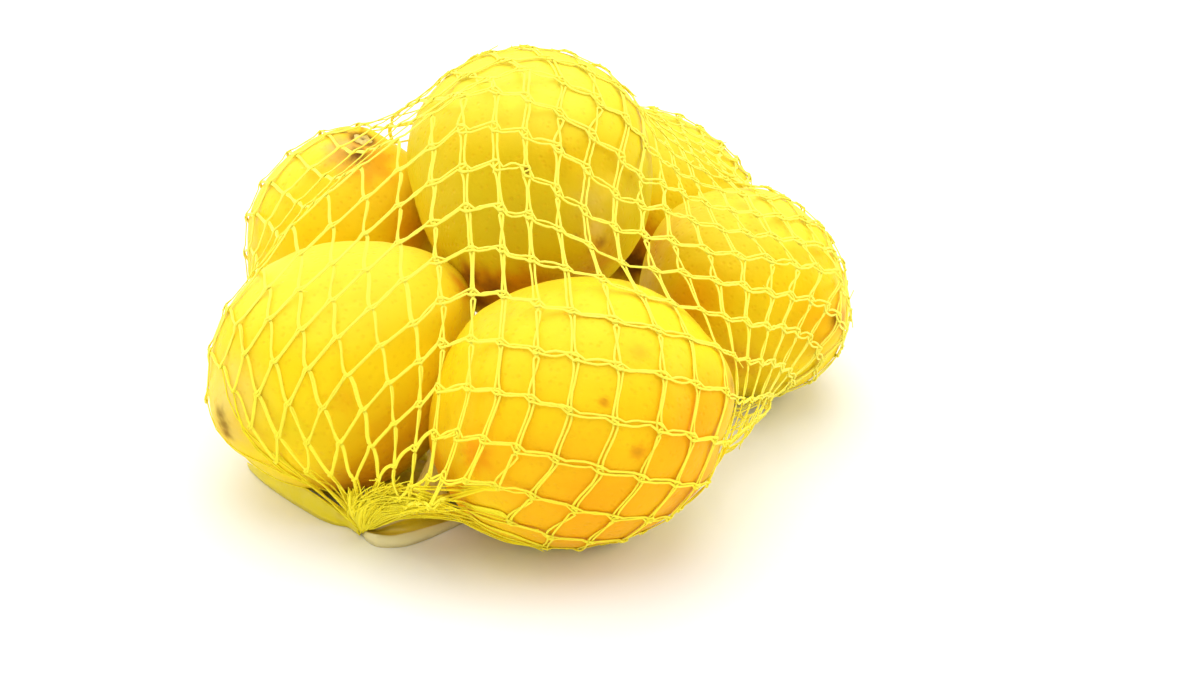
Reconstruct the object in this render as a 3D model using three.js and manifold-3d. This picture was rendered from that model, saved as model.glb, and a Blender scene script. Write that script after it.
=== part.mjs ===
// A knitted net bag of six lemons, lying on a table: five lemons stand in a ring and one lies on top of them.
// The net is drawn taut over the fruit, so the bag is one lumpy closed solid: the skin that a stretched net takes round the lemons,
// pulled out to a gather at each end. A folded strip of clear label film runs along the floor at the front gather.
// Millimetres, +Z up, -Y to the front, origin at the centre of the footprint, on the floor.
import * as THREE from "three";
import { mergeVertices } from "three/addons/utils/BufferGeometryUtils.js";
import Module from "manifold-3d";

// ---- driving dimensions -------------------------------------------------------------------------------------------
const NET_THICKNESS = 0.9; // how far the net stands off the peel
const FLOOR_CUT = 0.0; // the solid is cut flat here, so each of the five lower lemons rests on a small flat spot
const OFFSET = new THREE.Vector3(13.4, -39.6, 0); // brings the footprint's centre to the origin
const PACK_CENTRE = new THREE.Vector3(-14, 38, 27); // the skin is worked out along rays from here
const SKIN_DETAIL = 15; // icosahedron subdivision of the skin: 20 * (detail + 1)^2 triangles
const SKIN_STEPS = 500; // rounds of tightening
const REACH = 150; // farther than any point of the bag

// Each lemon: centre, direction of its blossom end, half length, half width, height of the blossom end's nipple and of the stem end's neck.
const LEMONS = {
  front_centre: { c: [-4.3, -13.7, 28.9], axis: [0.94, -0.17, 0.3], a: 32.0, b: 28.6, nipple: 3.0, neck: 1.5 },
  front_left: { c: [-58.1, 9.5, 27.1], axis: [-0.77, -0.63, -0.11], a: 29.8, b: 27.0, nipple: 2.0, neck: 1.2 },
  top: { c: [-15.9, 44.1, 60.6], axis: [0.43, -0.9, -0.06], a: 31.5, b: 27.0, nipple: 2.5, neck: 1.5 },
  right: { c: [33.6, 53.2, 25.0], axis: [0.7, -0.71, 0.11], a: 28.0, b: 25.0, nipple: 2.5, neck: 1.2 },
  back_left: { c: [-61.4, 63.6, 32.1], axis: [-0.18, 0.15, -0.97], a: 31.5, b: 23.8, nipple: 1.2, neck: 0.6 },
  back: { c: [12.3, 96.8, 26.9], axis: [0.7, 0.15, -0.7], a: 29.0, b: 24.6, nipple: 1.5, neck: 1.5 },
};
const LEMON_POWER = 2.05; // 2 is an ellipsoid, more is fuller at the shoulders
const NIPPLE_SPREAD = 0.27, NECK_SPREAD = 0.3; // radians

// The net's two gathered ends: tip, its radius, where the pull starts inside the bag, and the radius there.
const GATHERS = [
  { tip: [-50.4, -18.6, 4.6], rTip: 2.9, root: [-38.0, 4.0, 18.0], rRoot: 13 },
  { tip: [38.0, 117.0, 6.0], rTip: 3.4, root: [22.0, 88.0, 20.0], rRoot: 14 },
];
const GATHER_ZONE = 0.42; // radians round each gather where the skin's triangles are finer

// The label film: a strip that lies curled along the floor, pinched under the front gather.
const FILM_THICKNESS = 0.8;
const FILM_GAP = 0.35; // between the film and the net
const FILM_SIDES = 8; // facets across the curl
// stations of the left run and of the right loop: plan position, height and width of the curl
const FILM_LEFT = [
  { p: [-82.0, 14.0], h: 1.8, w: 2.4 },
  { p: [-79.2, 9.6], h: 3.2, w: 3.4 },
  { p: [-73.2, 3.4], h: 4.0, w: 4.2 },
  { p: [-65.9, -2.8], h: 4.2, w: 4.6 },
  { p: [-59.4, -8.0], h: 3.8, w: 4.4 },
  { p: [-53.9, -12.6], h: 2.6, w: 3.6 },
  { p: [-50.2, -16.4], h: 1.9, w: 3.0 },
];
const FILM_RIGHT = [
  { p: [-51.4, -15.2], h: 1.9, w: 3.0 },
  { p: [-48.4, -18.2], h: 3.0, w: 4.4 },
  { p: [-44.6, -19.4], h: 5.4, w: 6.0 },
  { p: [-40.2, -18.2], h: 6.8, w: 7.0 },
  { p: [-35.8, -15.8], h: 6.0, w: 6.4 },
  { p: [-31.4, -12.6], h: 4.0, w: 4.8 },
  { p: [-28.0, -9.2], h: 2.2, w: 3.0 },
];

// ---- solids from meshes -------------------------------------------------------------------------------------------
const wasm = await Module();
wasm.setup();

function solid(geometry) {
  const g = geometry.clone();
  for (const name of Object.keys(g.attributes)) if (name !== "position") g.deleteAttribute(name);
  const m = mergeVertices(g, 1e-4);
  const made = (triVerts) =>
    new wasm.Manifold(
      new wasm.Mesh({ numProp: 3, vertProperties: new Float32Array(m.attributes.position.array), triVerts }),
    );
  const one = made(new Uint32Array(m.index.array));
  return one.volume() > 0 ? one : made(new Uint32Array(m.index.array).reverse()); // faces out, whichever way it was walked
}

function geometryOf(manifold) {
  const m = manifold.getMesh();
  const v = new Float32Array(m.numVert * 3);
  for (let i = 0; i < m.numVert; i++) v.set(m.vertProperties.subarray(i * m.numProp, i * m.numProp + 3), i * 3);
  const g = new THREE.BufferGeometry();
  g.setAttribute("position", new THREE.BufferAttribute(v, 3));
  g.setIndex(new THREE.BufferAttribute(new Uint32Array(m.triVerts), 1));
  g.computeVertexNormals();
  return g;
}

// ---- the lemons' surface ------------------------------------------------------------------------------------------
const V = (a) => new THREE.Vector3(...a);
const lemons = Object.values(LEMONS).map((l) => ({ ...l, centre: V(l.c), dir: V(l.axis).normalize() }));

// How far a lemon's surface is from its centre, in the direction that makes this cosine with its long axis.
function lemonRadius(l, cosine) {
  const phi = Math.acos(Math.min(1, Math.max(-1, cosine)));
  const body =
    (Math.abs(Math.cos(phi) / l.a) ** LEMON_POWER + Math.abs(Math.sin(phi) / l.b) ** LEMON_POWER) ** (-1 / LEMON_POWER);
  return (
    body +
    l.nipple * Math.exp(-((phi / NIPPLE_SPREAD) ** 2)) +
    l.neck * Math.exp(-(((Math.PI - phi) / NECK_SPREAD) ** 2))
  );
}

const probe = new THREE.Vector3();
function insideLemon(l, p) {
  probe.subVectors(p, l.centre);
  const d = probe.length();
  return d < lemonRadius(l, probe.dot(l.dir) / (d || 1)) + NET_THICKNESS;
}

const gathers = GATHERS.map((g) => ({ ...g, tipV: V(g.tip), rootV: V(g.root) }));
function insideGather(g, p) {
  const axis = probe.subVectors(g.tipV, g.rootV);
  const length2 = axis.lengthSq();
  const t = Math.min(1, Math.max(0, (p.x - g.rootV.x) * axis.x + (p.y - g.rootV.y) * axis.y + (p.z - g.rootV.z) * axis.z) / length2);
  const u = Math.min(1, t);
  const dx = p.x - g.rootV.x - axis.x * u, dy = p.y - g.rootV.y - axis.y * u, dz = p.z - g.rootV.z - axis.z * u;
  // a neck that flares towards the bag
  const r = g.rTip + (g.rRoot - g.rTip) * (1 - u) ** 1.6;
  return dx * dx + dy * dy + dz * dz < r * r;
}

// The last point of a ray that is inside a test shape, found by stepping in from outside and then halving.
const along = new THREE.Vector3();
function exit(dir, inside, from, step = 1.5) {
  let t = from;
  while (t > 0 && !inside(along.copy(PACK_CENTRE).addScaledVector(dir, t))) t -= step;
  if (t <= 0) return 0;
  let low = t, high = t + step;
  for (let k = 0; k < 12; k++) {
    const mid = (low + high) / 2;
    if (inside(along.copy(PACK_CENTRE).addScaledVector(dir, mid))) low = mid;
    else high = mid;
  }
  return low;
}

// ---- the net's skin -----------------------------------------------------------------------------------------------
function skin() {
  const ico = new THREE.IcosahedronGeometry(1, SKIN_DETAIL);
  ico.deleteAttribute("normal");
  ico.deleteAttribute("uv");
  const g = mergeVertices(ico, 1e-5);
  const n = g.attributes.position.count;
  const index = g.index.array;
  const dirs = [];
  for (let i = 0; i < n; i++) dirs.push(new THREE.Vector3().fromBufferAttribute(g.attributes.position, i).normalize());

  // finer triangles round the gathers: angles from the gather's ray shrink towards it
  for (const gather of gathers) {
    const pole = gather.tipV.clone().sub(PACK_CENTRE).normalize();
    for (const d of dirs) {
      const angle = Math.acos(Math.min(1, Math.max(-1, d.dot(pole))));
      if (angle >= GATHER_ZONE || angle < 1e-6) continue;
      const wanted = angle * (0.42 + 0.58 * (angle / GATHER_ZONE));
      const side = d.clone().addScaledVector(pole, -d.dot(pole)).normalize();
      d.copy(pole).multiplyScalar(Math.cos(wanted)).addScaledVector(side, Math.sin(wanted));
    }
  }

  const floor = dirs.map((dir) => {
    let r = 0;
    for (const l of lemons) r = Math.max(r, exit(dir, (p) => insideLemon(l, p), REACH));
    for (const q of gathers) r = Math.max(r, exit(dir, (p) => insideGather(q, p), REACH));
    return r;
  });
  const r = floor.map((f) => Math.max(f, 30));
  // start outside: the widest reach of the near rays, so that the skin shrinks on to the fruit
  const near = Array.from({ length: n }, () => new Set());
  for (let i = 0; i < index.length; i += 3)
    for (let k = 0; k < 3; k++) {
      near[index[i + k]].add(index[i + ((k + 1) % 3)]);
      near[index[i + k]].add(index[i + ((k + 2) % 3)]);
    }
  const rings = near.map((s) => [...s]);
  for (let k = 0; k < 14; k++) {
    const wide = r.map((v, i) => Math.max(v, ...rings[i].map((j) => r[j] * 0.985)));
    wide.forEach((v, i) => (r[i] = v));
  }

  const P = dirs.map((d, i) => d.clone().multiplyScalar(r[i]));
  const normals = dirs.map(() => new THREE.Vector3());
  const e1 = new THREE.Vector3(), e2 = new THREE.Vector3(), q = new THREE.Vector3();
  for (let step = 0; step < SKIN_STEPS; step++) {
    for (const v of normals) v.set(0, 0, 0);
    for (let i = 0; i < index.length; i += 3) {
      const a = P[index[i]], b = P[index[i + 1]], c = P[index[i + 2]];
      e1.subVectors(b, a);
      e2.subVectors(c, a);
      e1.cross(e2);
      for (let k = 0; k < 3; k++) normals[index[i + k]].add(e1);
    }
    // each point goes to where its ray meets the plane of its neighbours, unless fruit is in the way
    for (let i = 0; i < n; i++) {
      q.set(0, 0, 0);
      for (const j of rings[i]) q.add(P[j]);
      q.divideScalar(rings[i].length);
      const across = normals[i].dot(dirs[i]);
      const wanted = across > 1e-9 ? q.dot(normals[i]) / across : r[i];
      r[i] = Math.max(floor[i], Math.min(wanted, r[i] * 1.02));
      P[i].copy(dirs[i]).multiplyScalar(r[i]);
    }
  }
  const position = g.attributes.position;
  for (let i = 0; i < n; i++) position.setXYZ(i, P[i].x + PACK_CENTRE.x, P[i].y + PACK_CENTRE.y, P[i].z + PACK_CENTRE.z);
  return g;
}

// ---- the label film -----------------------------------------------------------------------------------------------
// Joins closed rings of points into one closed shape, with a fan at each end.
function loft(rings) {
  const m = rings[0].length;
  const position = [];
  for (const ring of rings) for (const p of ring) position.push(p.x, p.y, p.z);
  const index = [];
  for (let s = 0; s + 1 < rings.length; s++)
    for (let k = 0; k < m; k++) {
      const a = s * m + k, b = s * m + ((k + 1) % m);
      index.push(a, b, b + m, a, b + m, a + m);
    }
  for (const [s, turn] of [[0, true], [rings.length - 1, false]]) {
    // the ring is a band, out along one side and back along the other, so its end is a strip of quads
    const half = m / 2;
    for (let k = 0; k + 1 < half; k++) {
      const a = s * m + k, b = s * m + k + 1, c = s * m + (m - 2 - k), d = s * m + (m - 1 - k);
      if (turn) index.push(a, c, b, a, d, c);
      else index.push(a, b, c, a, c, d);
    }
  }
  const g = new THREE.BufferGeometry();
  g.setAttribute("position", new THREE.BufferAttribute(new Float32Array(position), 3));
  g.setIndex(index);
  return g;
}

// A curl of film: from each station an arc of an ellipse that stands on the floor, from one angle to another, as thick as asked.
// Angles are in the plane across the strip: 0 is outwards (to the right of the walk along it), 90 is up.
function curl(stations, from, to, thickness, grow = 0) {
  const path = new THREE.CatmullRomCurve3(stations.map((s) => new THREE.Vector3(s.p[0], s.p[1], 0)));
  const steps = (stations.length - 1) * 2;
  const rings = [];
  for (let i = 0; i <= steps; i++) {
    const t = i / steps;
    const at = path.getPoint(t);
    const way = path.getTangent(t);
    const out = new THREE.Vector3(way.y, -way.x, 0).normalize();
    const f = t * (stations.length - 1);
    const k = Math.min(stations.length - 2, Math.floor(f));
    const mix = (name) => stations[k][name] + (stations[k + 1][name] - stations[k][name]) * (f - k);
    const h = mix("h"), w = mix("w");
    const z = h / 2 + 0.25;
    const outer = [], inner = [];
    for (let j = 0; j <= FILM_SIDES; j++) {
      const angle = THREE.MathUtils.degToRad(from + ((to - from) * j) / FILM_SIDES);
      const at2 = (rw, rh) =>
        at.clone().addScaledVector(out, rw * Math.cos(angle)).add(new THREE.Vector3(0, 0, z + rh * Math.sin(angle)));
      outer.push(at2(w / 2 + grow, h / 2 + grow));
      inner.push(at2(Math.max(0.12, w / 2 - thickness - grow), Math.max(0.12, h / 2 - thickness - grow)));
    }
    rings.push([...outer, ...inner.reverse()]);
  }
  return loft(rings);
}

// The full curl, filled and a little larger: the room that the net leaves for the film.
function room(stations) {
  const path = new THREE.CatmullRomCurve3(stations.map((s) => new THREE.Vector3(s.p[0], s.p[1], 0)));
  const first = path.getTangent(0), last = path.getTangent(1);
  const longer = [
    { ...stations[0], p: [stations[0].p[0] - first.x * 0.8, stations[0].p[1] - first.y * 0.8] },
    ...stations.slice(1, -1),
    { ...stations.at(-1), p: [stations.at(-1).p[0] + last.x * 0.8, stations.at(-1).p[1] + last.y * 0.8] },
  ];
  const pieces = curlRoom(longer);
  return pieces;
}

function curlRoom(stations) {
  const path = new THREE.CatmullRomCurve3(stations.map((s) => new THREE.Vector3(s.p[0], s.p[1], 0)));
  const steps = (stations.length - 1) * 2;
  const rings = [];
  const sides = 12;
  for (let i = 0; i <= steps; i++) {
    const t = i / steps;
    const at = path.getPoint(t);
    const way = path.getTangent(t);
    const out = new THREE.Vector3(way.y, -way.x, 0).normalize();
    const f = t * (stations.length - 1);
    const k = Math.min(stations.length - 2, Math.floor(f));
    const mix = (name) => stations[k][name] + (stations[k + 1][name] - stations[k][name]) * (f - k);
    const h = mix("h") + 2 * FILM_GAP, w = mix("w") + 2 * FILM_GAP;
    const ring = [];
    // a box with a round top, open to the floor, so no sliver of net is left under or beside the film
    for (let j = 0; j < sides; j++) {
      const angle = (2 * Math.PI * j) / sides;
      const x = Math.cos(angle), y = Math.sin(angle);
      const fuller = 1 / Math.max(Math.abs(x), Math.abs(y)) ** 0.35;
      ring.push(
        at.clone()
          .addScaledVector(out, (w / 2) * x * fuller)
          .add(new THREE.Vector3(0, 0, (y < 0 ? 1.4 : 1) * (h / 2) * y * fuller + h / 2 - FILM_GAP + 0.25)),
      );
    }
    rings.push(ring);
  }
  return loft(rings);
}

// ---- the model ----------------------------------------------------------------------------------------------------
const below = new THREE.BoxGeometry(600, 600, 100).translate(0, 0, FLOOR_CUT - 50);

const film = solid(curl(FILM_LEFT, -100, 78, FILM_THICKNESS)).add(solid(curl(FILM_RIGHT, 58, 322, FILM_THICKNESS)));
const filmRoom = solid(room(FILM_LEFT)).add(solid(room(FILM_RIGHT)));
const cut = solid(skin()).subtract(solid(below)).subtract(filmRoom);
const bag = cut.decompose().sort((a, b) => b.volume() - a.volume())[0]; // without the slivers that the cut leaves beside the film

const net_bag = new THREE.Mesh(
  geometryOf(bag),
  new THREE.MeshStandardMaterial({ color: 0xf9d11c, roughness: 0.5, metalness: 0 }),
);
net_bag.name = "net_bag";

const label_strip = new THREE.Mesh(
  geometryOf(film),
  new THREE.MeshStandardMaterial({ color: 0xd8d27a, roughness: 0.25, metalness: 0 }),
);
label_strip.name = "label_strip";

const net_of_lemons = new THREE.Group();
net_of_lemons.position.copy(OFFSET);
net_of_lemons.add(net_bag, label_strip);

export default net_of_lemons;
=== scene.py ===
"""Net of lemons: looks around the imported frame. Six whole lemons in a knitted yellow net, gathered at both ends, with a folded strip of plain film at the front gather."""
import math
import bpy
import numpy as np
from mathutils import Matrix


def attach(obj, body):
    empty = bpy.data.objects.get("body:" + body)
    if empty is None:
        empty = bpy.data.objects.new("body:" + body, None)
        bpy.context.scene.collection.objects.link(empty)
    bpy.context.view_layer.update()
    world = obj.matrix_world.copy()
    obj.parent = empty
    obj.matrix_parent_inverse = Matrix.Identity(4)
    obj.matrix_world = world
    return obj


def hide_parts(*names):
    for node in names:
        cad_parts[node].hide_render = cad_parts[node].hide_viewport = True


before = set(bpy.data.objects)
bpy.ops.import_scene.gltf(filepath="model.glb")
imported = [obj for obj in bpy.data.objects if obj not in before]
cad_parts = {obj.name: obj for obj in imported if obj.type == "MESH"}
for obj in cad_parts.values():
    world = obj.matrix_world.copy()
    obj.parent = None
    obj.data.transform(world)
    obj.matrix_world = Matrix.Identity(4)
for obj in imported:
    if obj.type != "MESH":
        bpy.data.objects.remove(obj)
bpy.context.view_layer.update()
MM = 0.001
OFFSET = np.array([13.4, -39.6, 0.0])      # from the frame the lemons were measured in to the part's own frame, mm
SC = bpy.context.scene

# ---------------------------------------------------------------- camera
ELEV = math.radians(27.0)
CAM_D = 520.0
cam_dir = np.array([0, -math.cos(ELEV), math.sin(ELEV)])
cam_up = np.array([0, math.sin(ELEV), math.cos(ELEV)])
cam_right = np.array([1.0, 0, 0])
cam_pos = np.array([0, 0, 40.0]) + CAM_D * cam_dir       # measuring frame, mm
FOCAL_PX = 4.6 * CAM_D                                    # for a 1200 pixel wide picture
cd = bpy.data.cameras.new("camera")
cam = bpy.data.objects.new("camera", cd)
SC.collection.objects.link(cam)
cam.location = (cam_pos + OFFSET) * MM
cam.rotation_euler = (math.pi / 2 - ELEV, 0, 0)
cd.sensor_fit = "HORIZONTAL"
cd.sensor_width = 36.0
cd.lens = FOCAL_PX / 1200 * 36.0
cd.clip_start, cd.clip_end = 0.01, 20
SC.camera = cam


def rays(px):
    """Unit directions from the camera through places of the 1200 x 675 picture."""
    px = np.asarray(px, float).reshape(-1, 2)
    d = -cam_dir + cam_right * ((px[:, 0:1] - 600) / FOCAL_PX) - cam_up * ((px[:, 1:2] - 337.5) / FOCAL_PX)
    return d / np.linalg.norm(d, axis=1, keepdims=True)


def project(p):
    d = p - cam_pos
    z = -(d @ cam_dir)
    return np.stack([600 + FOCAL_PX * (d @ cam_right) / z, 337.5 - FOCAL_PX * (d @ cam_up) / z], -1)


# ---------------------------------------------------------------- lemons: shape
# centre, axis towards the blossom end, half length a, half width b, nipple, neck (mm)
LEMONS = dict(
    front_centre=dict(c=(-4.3, -13.7, 28.9), axis=(0.94, -0.17, 0.30), a=32.0, b=28.6, n=3.0, k=1.5),
    front_left=dict(c=(-58.1, 9.5, 27.1), axis=(-0.77, -0.63, -0.11), a=29.8, b=27.0, n=2.0, k=1.2),
    top=dict(c=(-15.9, 44.1, 60.6), axis=(0.43, -0.90, -0.06), a=31.5, b=27.0, n=2.5, k=1.5),
    right=dict(c=(33.6, 53.2, 25.0), axis=(0.70, -0.71, 0.11), a=28.0, b=25.0, n=2.5, k=1.2),
    back_left=dict(c=(-61.4, 63.6, 32.1), axis=(-0.18, 0.15, -0.97), a=31.5, b=23.8, n=1.2, k=0.6),
    back=dict(c=(12.3, 96.8, 26.9), axis=(0.70, 0.15, -0.70), a=29.0, b=24.6, n=1.5, k=1.5),
)
# How far each outline, as the front view shows it, stands out from that smooth shape: angle round the centre (degrees, 0 to the right, 90 up) and mm.
OUTLINE = dict(
    front_centre=[(-179, 0.2), (-166, 0.7), (-154, 1.0), (-140, 1.3), (-126, 1.0), (-115, 0.2), (-96, -0.2), (-83, -0.3), (-70, -0.4), (-55, -0.4), (-42, -0.5), (-19, 0), (-3, -0.3), (10, -0.7), (23, 0.4), (36, 0.9), (50, 0.4), (60, 0.7), (73, 0.9), (90, 1.1), (107, 0.9), (125, 0.8), (137, 1.3), (150, 0.4), (167, 0)],
    front_left=[(-176, 0.3), (-158, -0.3), (-143, -0.4), (-129, -0.5), (-110, -0.5), (-97, -0.3), (-88, -0.1), (-76, 0), (-63, -0.2), (-52, -0.8), (-40, -1.4), (-15, -0.5), (5, 0), (18, 0.9), (27, 4.2), (36, 5.2), (45, 4.6), (53, 3.6), (64, 1.7), (85, 0.4), (108, 1.2), (126, 1.9), (141, 1.3), (152, 0.8), (169, 0.2)],
    top=[(-168, 0.4), (-153, 1.4), (-140, 2.5), (-130, 3.6), (-121, 6.2), (-114, 8.6), (-106, 8.2), (-92, 6.4), (-80, 5.0), (-65, 2.8), (-50, 1.2), (-46, 0.8), (-27, 0.5), (-9, -0.5), (22, 0.4), (43, 1.2), (57, 0.8), (74, 0.4), (94, -0.5), (108, -0.4), (123, 0), (142, 0), (155, 0.6), (166, 0.9), (180, 0.4)],
    right=[(-60, 0), (-29, 0.5), (-14, -0.4), (7, -1.8), (31, -1.7), (54, -0.9), (74, 0.7), (95, 0), (130, -0.4), (145, -1.4), (160, -2.2), (180, -2.2)],
    back_left=[(40, 0), (60, -1.9), (69, -2.2), (76, -1.1), (88, -0.9), (93, -1.1), (109, -1.4), (128, -0.9), (144, -0.1), (160, 0.6), (180, 0)],
    back=[(0, 0.6), (17, 1.4), (35, 0.8), (58, 0.6), (90, 0.4), (120, 0), (180, 0)],
)
FLOOR_SKIN = 0.9                            # the net's thickness under the lemons
for seed, (name, L) in enumerate(LEMONS.items()):
    L["c"] = np.array(L["c"], float)
    tab = np.array(OUTLINE[name], float)
    grid = np.arange(-180, 180, 3.0)
    ang = np.interp(grid, *np.concatenate([tab - [360, 0], tab, tab + [360, 0]]).T)
    ker = np.exp(-(np.minimum(np.arange(120), 120 - np.arange(120)) * 3 / 7.0) ** 2)
    L["edge"] = (grid, np.real(np.fft.ifft(np.fft.fft(ang) * np.fft.fft(ker / ker.sum()))))
    L["axis"] = np.array(L["axis"]) / np.linalg.norm(L["axis"])
    rng = np.random.default_rng(100 + seed)
    f = rng.normal(size=(9, 3))
    f /= np.linalg.norm(f, axis=1, keepdims=True)
    L["wf"] = f * np.array([2.1, 2.6, 3.1, 3.9, 4.6, 5.5, 6.6, 8.0, 9.5])[:, None]
    L["wp"] = rng.uniform(0, 6.28, 9)
    L["wa"] = np.array([0.26, 0.24, 0.2, 0.15, 0.12, 0.09, 0.07, 0.05, 0.04])


def radius(L, d):
    """Distance from a lemon's centre to its skin, along unit directions d."""
    phi = np.arccos(np.clip(d @ L["axis"], -1, 1))
    p = 2.05
    r = ((np.abs(np.cos(phi)) / L["a"]) ** p + (np.abs(np.sin(phi)) / L["b"]) ** p) ** (-1 / p)
    r += L["n"] * np.exp(-(phi / 0.27) ** 2) + L["k"] * np.exp(-((np.pi - phi) / 0.3) ** 2)
    r -= 0.55 * np.exp(-((phi - 0.44) / 0.13) ** 2) * min(1, L["n"] / 2.5)    # the furrow round the nipple
    r += (np.sin(d @ L["wf"].T + L["wp"]) * L["wa"]).sum(1) - 0.1
    x, y = d @ cam_right, d @ cam_up
    r += np.interp(np.degrees(np.arctan2(y, x)), *L["edge"], period=360) * (x * x + y * y)
    return r


def push(P, t, floor=0.45):
    """Moves points out of the lemons and up onto the floor. Returns which touched."""
    hit = np.zeros(len(P), bool)
    for L in LEMONS.values():
        d = P - L["c"]
        near = np.nonzero((d * d).sum(1) < 40.0 ** 2)[0]
        if len(near) == 0:
            continue
        dn = d[near]
        rn = np.maximum(np.linalg.norm(dn, axis=1), 1e-6)
        R = radius(L, dn / rn[:, None]) + t
        m = rn < R
        P[near[m]] = L["c"] + dn[m] * (R[m] / rn[m])[:, None]
        hit[near[m]] = True
    low = P[:, 2] < floor
    P[low, 2] = floor
    return hit | low


# ---------------------------------------------------------------- film strip: its line on the floor, with height and width (mm)
FILM_RIGHT = np.array([(-51.4, -15.2, 1.9, 3.0), (-48.4, -18.2, 3.0, 4.4), (-44.6, -19.4, 5.4, 6.0), (-40.2, -18.2, 6.8, 7.0), (-35.8, -15.8, 6.0, 6.4), (-31.4, -12.6, 4.0, 4.8), (-28, -9.2, 2.2, 3.0)])


def film_lift(P, t):
    near = np.nonzero((P[:, 0] > -56) & (P[:, 0] < -22) & (P[:, 1] > -26) & (P[:, 1] < -4) & (P[:, 2] < 10))[0]
    if len(near) == 0:
        return
    q = P[near, :2]
    best = np.full(len(near), -1.0)
    for a, b in zip(FILM_RIGHT[:-1], FILM_RIGHT[1:]):
        d = b[:2] - a[:2]
        s = np.clip(((q - a[:2]) @ d) / (d @ d), 0, 1)
        c = a[:2] + s[:, None] * d
        w = (a[3] + s * (b[3] - a[3])) / 2 + 0.4
        h = a[2] + s * (b[2] - a[2])
        r = np.linalg.norm(q - c, axis=1) / w
        best = np.maximum(best, np.where(r < 1, h * np.sqrt(np.clip(1 - r * r, 0, 1)), -1))
    z = best + t
    m = (best > 0) & (P[near, 2] < z)
    P[near[m], 2] += np.minimum(z[m] - P[near[m], 2], 0.6)


# ---------------------------------------------------------------- net: a tube of diamond mesh drawn over the lemons
NET_ROUND = 28                              # meshes round the tube
NET_ROWS = 40                               # half meshes from gather to gather
BAR = 6.6                                   # free yarn between two knots, mm
KNOT = 2.1                                  # length of a knot, mm
GATHER_FRONT = np.array([-50.4, -18.6, 4.0])
GATHER_BACK = np.array([38.0, 117.0, 6.0])
# Knots seen on the front, as places in the 1200 x 675 picture: for each cross strand, the first long strand it meets and the knots from there to the right.
KNOTS_SEEN = {
    -6: (3, [(530, 64), (563, 80), (600, 104), (630, 122)]),
    -5: (-4, [(292, 214), (326, 188), (362, 160), (400, 134), (434, 108), (465, 88), (495, 86), (526, 96), (558, 112), (594, 138), (622, 155), (640, 180)]),
    -4: (-4, [(304, 250), (333, 226), (366, 198), (401, 167), (436, 144), (465, 125), (494, 126), (522, 131), (556, 145), (587, 168), (615, 197), (641, 206), (664, 205)]),
    -3: (-7, [(225, 385), (242, 350), (268, 320), (298, 290), (333, 264), (365, 235), (398, 205), (436, 181), (467, 165), (497, 165), (525, 172), (555, 190), (583, 214), (613, 228), (643, 233), (669, 240), (706, 250), (742, 257), (771, 259), (797, 264), (820, 268), (846, 275)]),
    -2: (-7, [(243, 430), (255, 398), (270, 362), (299, 330), (331, 300), (367, 268), (398, 243), (437, 218), (470, 205), (502, 207), (528, 215), (557, 228), (588, 245), (620, 266), (650, 270)]),
    -1: (-7, [(268, 465), (275, 440), (285, 412), (303, 372), (335, 340), (371, 310), (404, 276), (439, 257), (474, 246), (504, 247), (530, 259), (565, 268), (600, 277)]),
    0: (-6, [(310, 478), (305, 450), (318, 412), (345, 375), (380, 345), (415, 323), (444, 295), (475, 290), (504, 292)]),
    1: (-5, [(331, 481), (338, 450), (363, 406), (388, 385), (421, 360), (444, 340), (471, 337), (501, 348), (536, 351), (575, 359), (618, 369), (662, 378), (700, 388)]),
    2: (-4, [(352, 485), (370, 450), (395, 420), (421, 403), (438, 385), (468, 386), (500, 392), (532, 401), (572, 412), (615, 421), (660, 428), (697, 437)]),
    3: (-3, [(378, 480), (393, 472), (414, 455), (434, 440), (455, 440), (480, 444), (512, 453), (555, 460), (600, 469), (645, 478), (681, 483)]),
    4: (1, [(443, 480), (462, 482), (490, 487), (530, 497), (572, 508), (617, 514), (650, 517)]),
    5: (2, [(441, 498), (462, 504), (500, 520), (545, 531), (590, 537)]),
}
# Nearer the front gather than these half meshes the yarn runs together into threads: place round the tube (in meshes) and rows.
GATHERED = [(-5.8, 3), (2.2, 3), (2.21, 5), (3.4, 5), (3.41, 8), (12.5, 8), (12.51, 6), (22.19, 6), (22.2, 3)]
GATHERED_BACK = 3
FIRST_ROW = 9                               # the row of the knot where strand 0 meets strand 0
FIRST_COLUMN = 23                           # and its column; None finds the best match


def footprint():
    """Edges of the outline that the pack stands on: outward normals and distances."""
    a = np.linspace(0, 2 * np.pi, 40, endpoint=False)
    r = (9.0 + 4.5 * (1 + np.sin(a)))[:, None]          # drawn in closest at the front
    pts = [L["c"][:2] + r * np.stack([np.cos(a), np.sin(a)], 1) for L in LEMONS.values() if L["c"][2] < 45]
    pts = np.concatenate(pts + [GATHER_FRONT[None, :2], GATHER_BACK[None, :2]])
    order = np.lexsort((pts[:, 1], pts[:, 0]))
    pts = pts[order]

    def half(ps):
        h = []
        for q in ps:
            while len(h) > 1 and (h[-1][0] - h[-2][0]) * (q[1] - h[-2][1]) - (h[-1][1] - h[-2][1]) * (q[0] - h[-2][0]) <= 0:
                h.pop()
            h.append(q)
        return h[:-1]
    hull = np.array(half(list(pts)) + half(list(pts[::-1])))
    e = np.roll(hull, -1, 0) - hull
    n = np.stack([e[:, 1], -e[:, 0]], 1)
    n /= np.linalg.norm(n, axis=1, keepdims=True)
    return n, (n * hull).sum(1)


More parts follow.
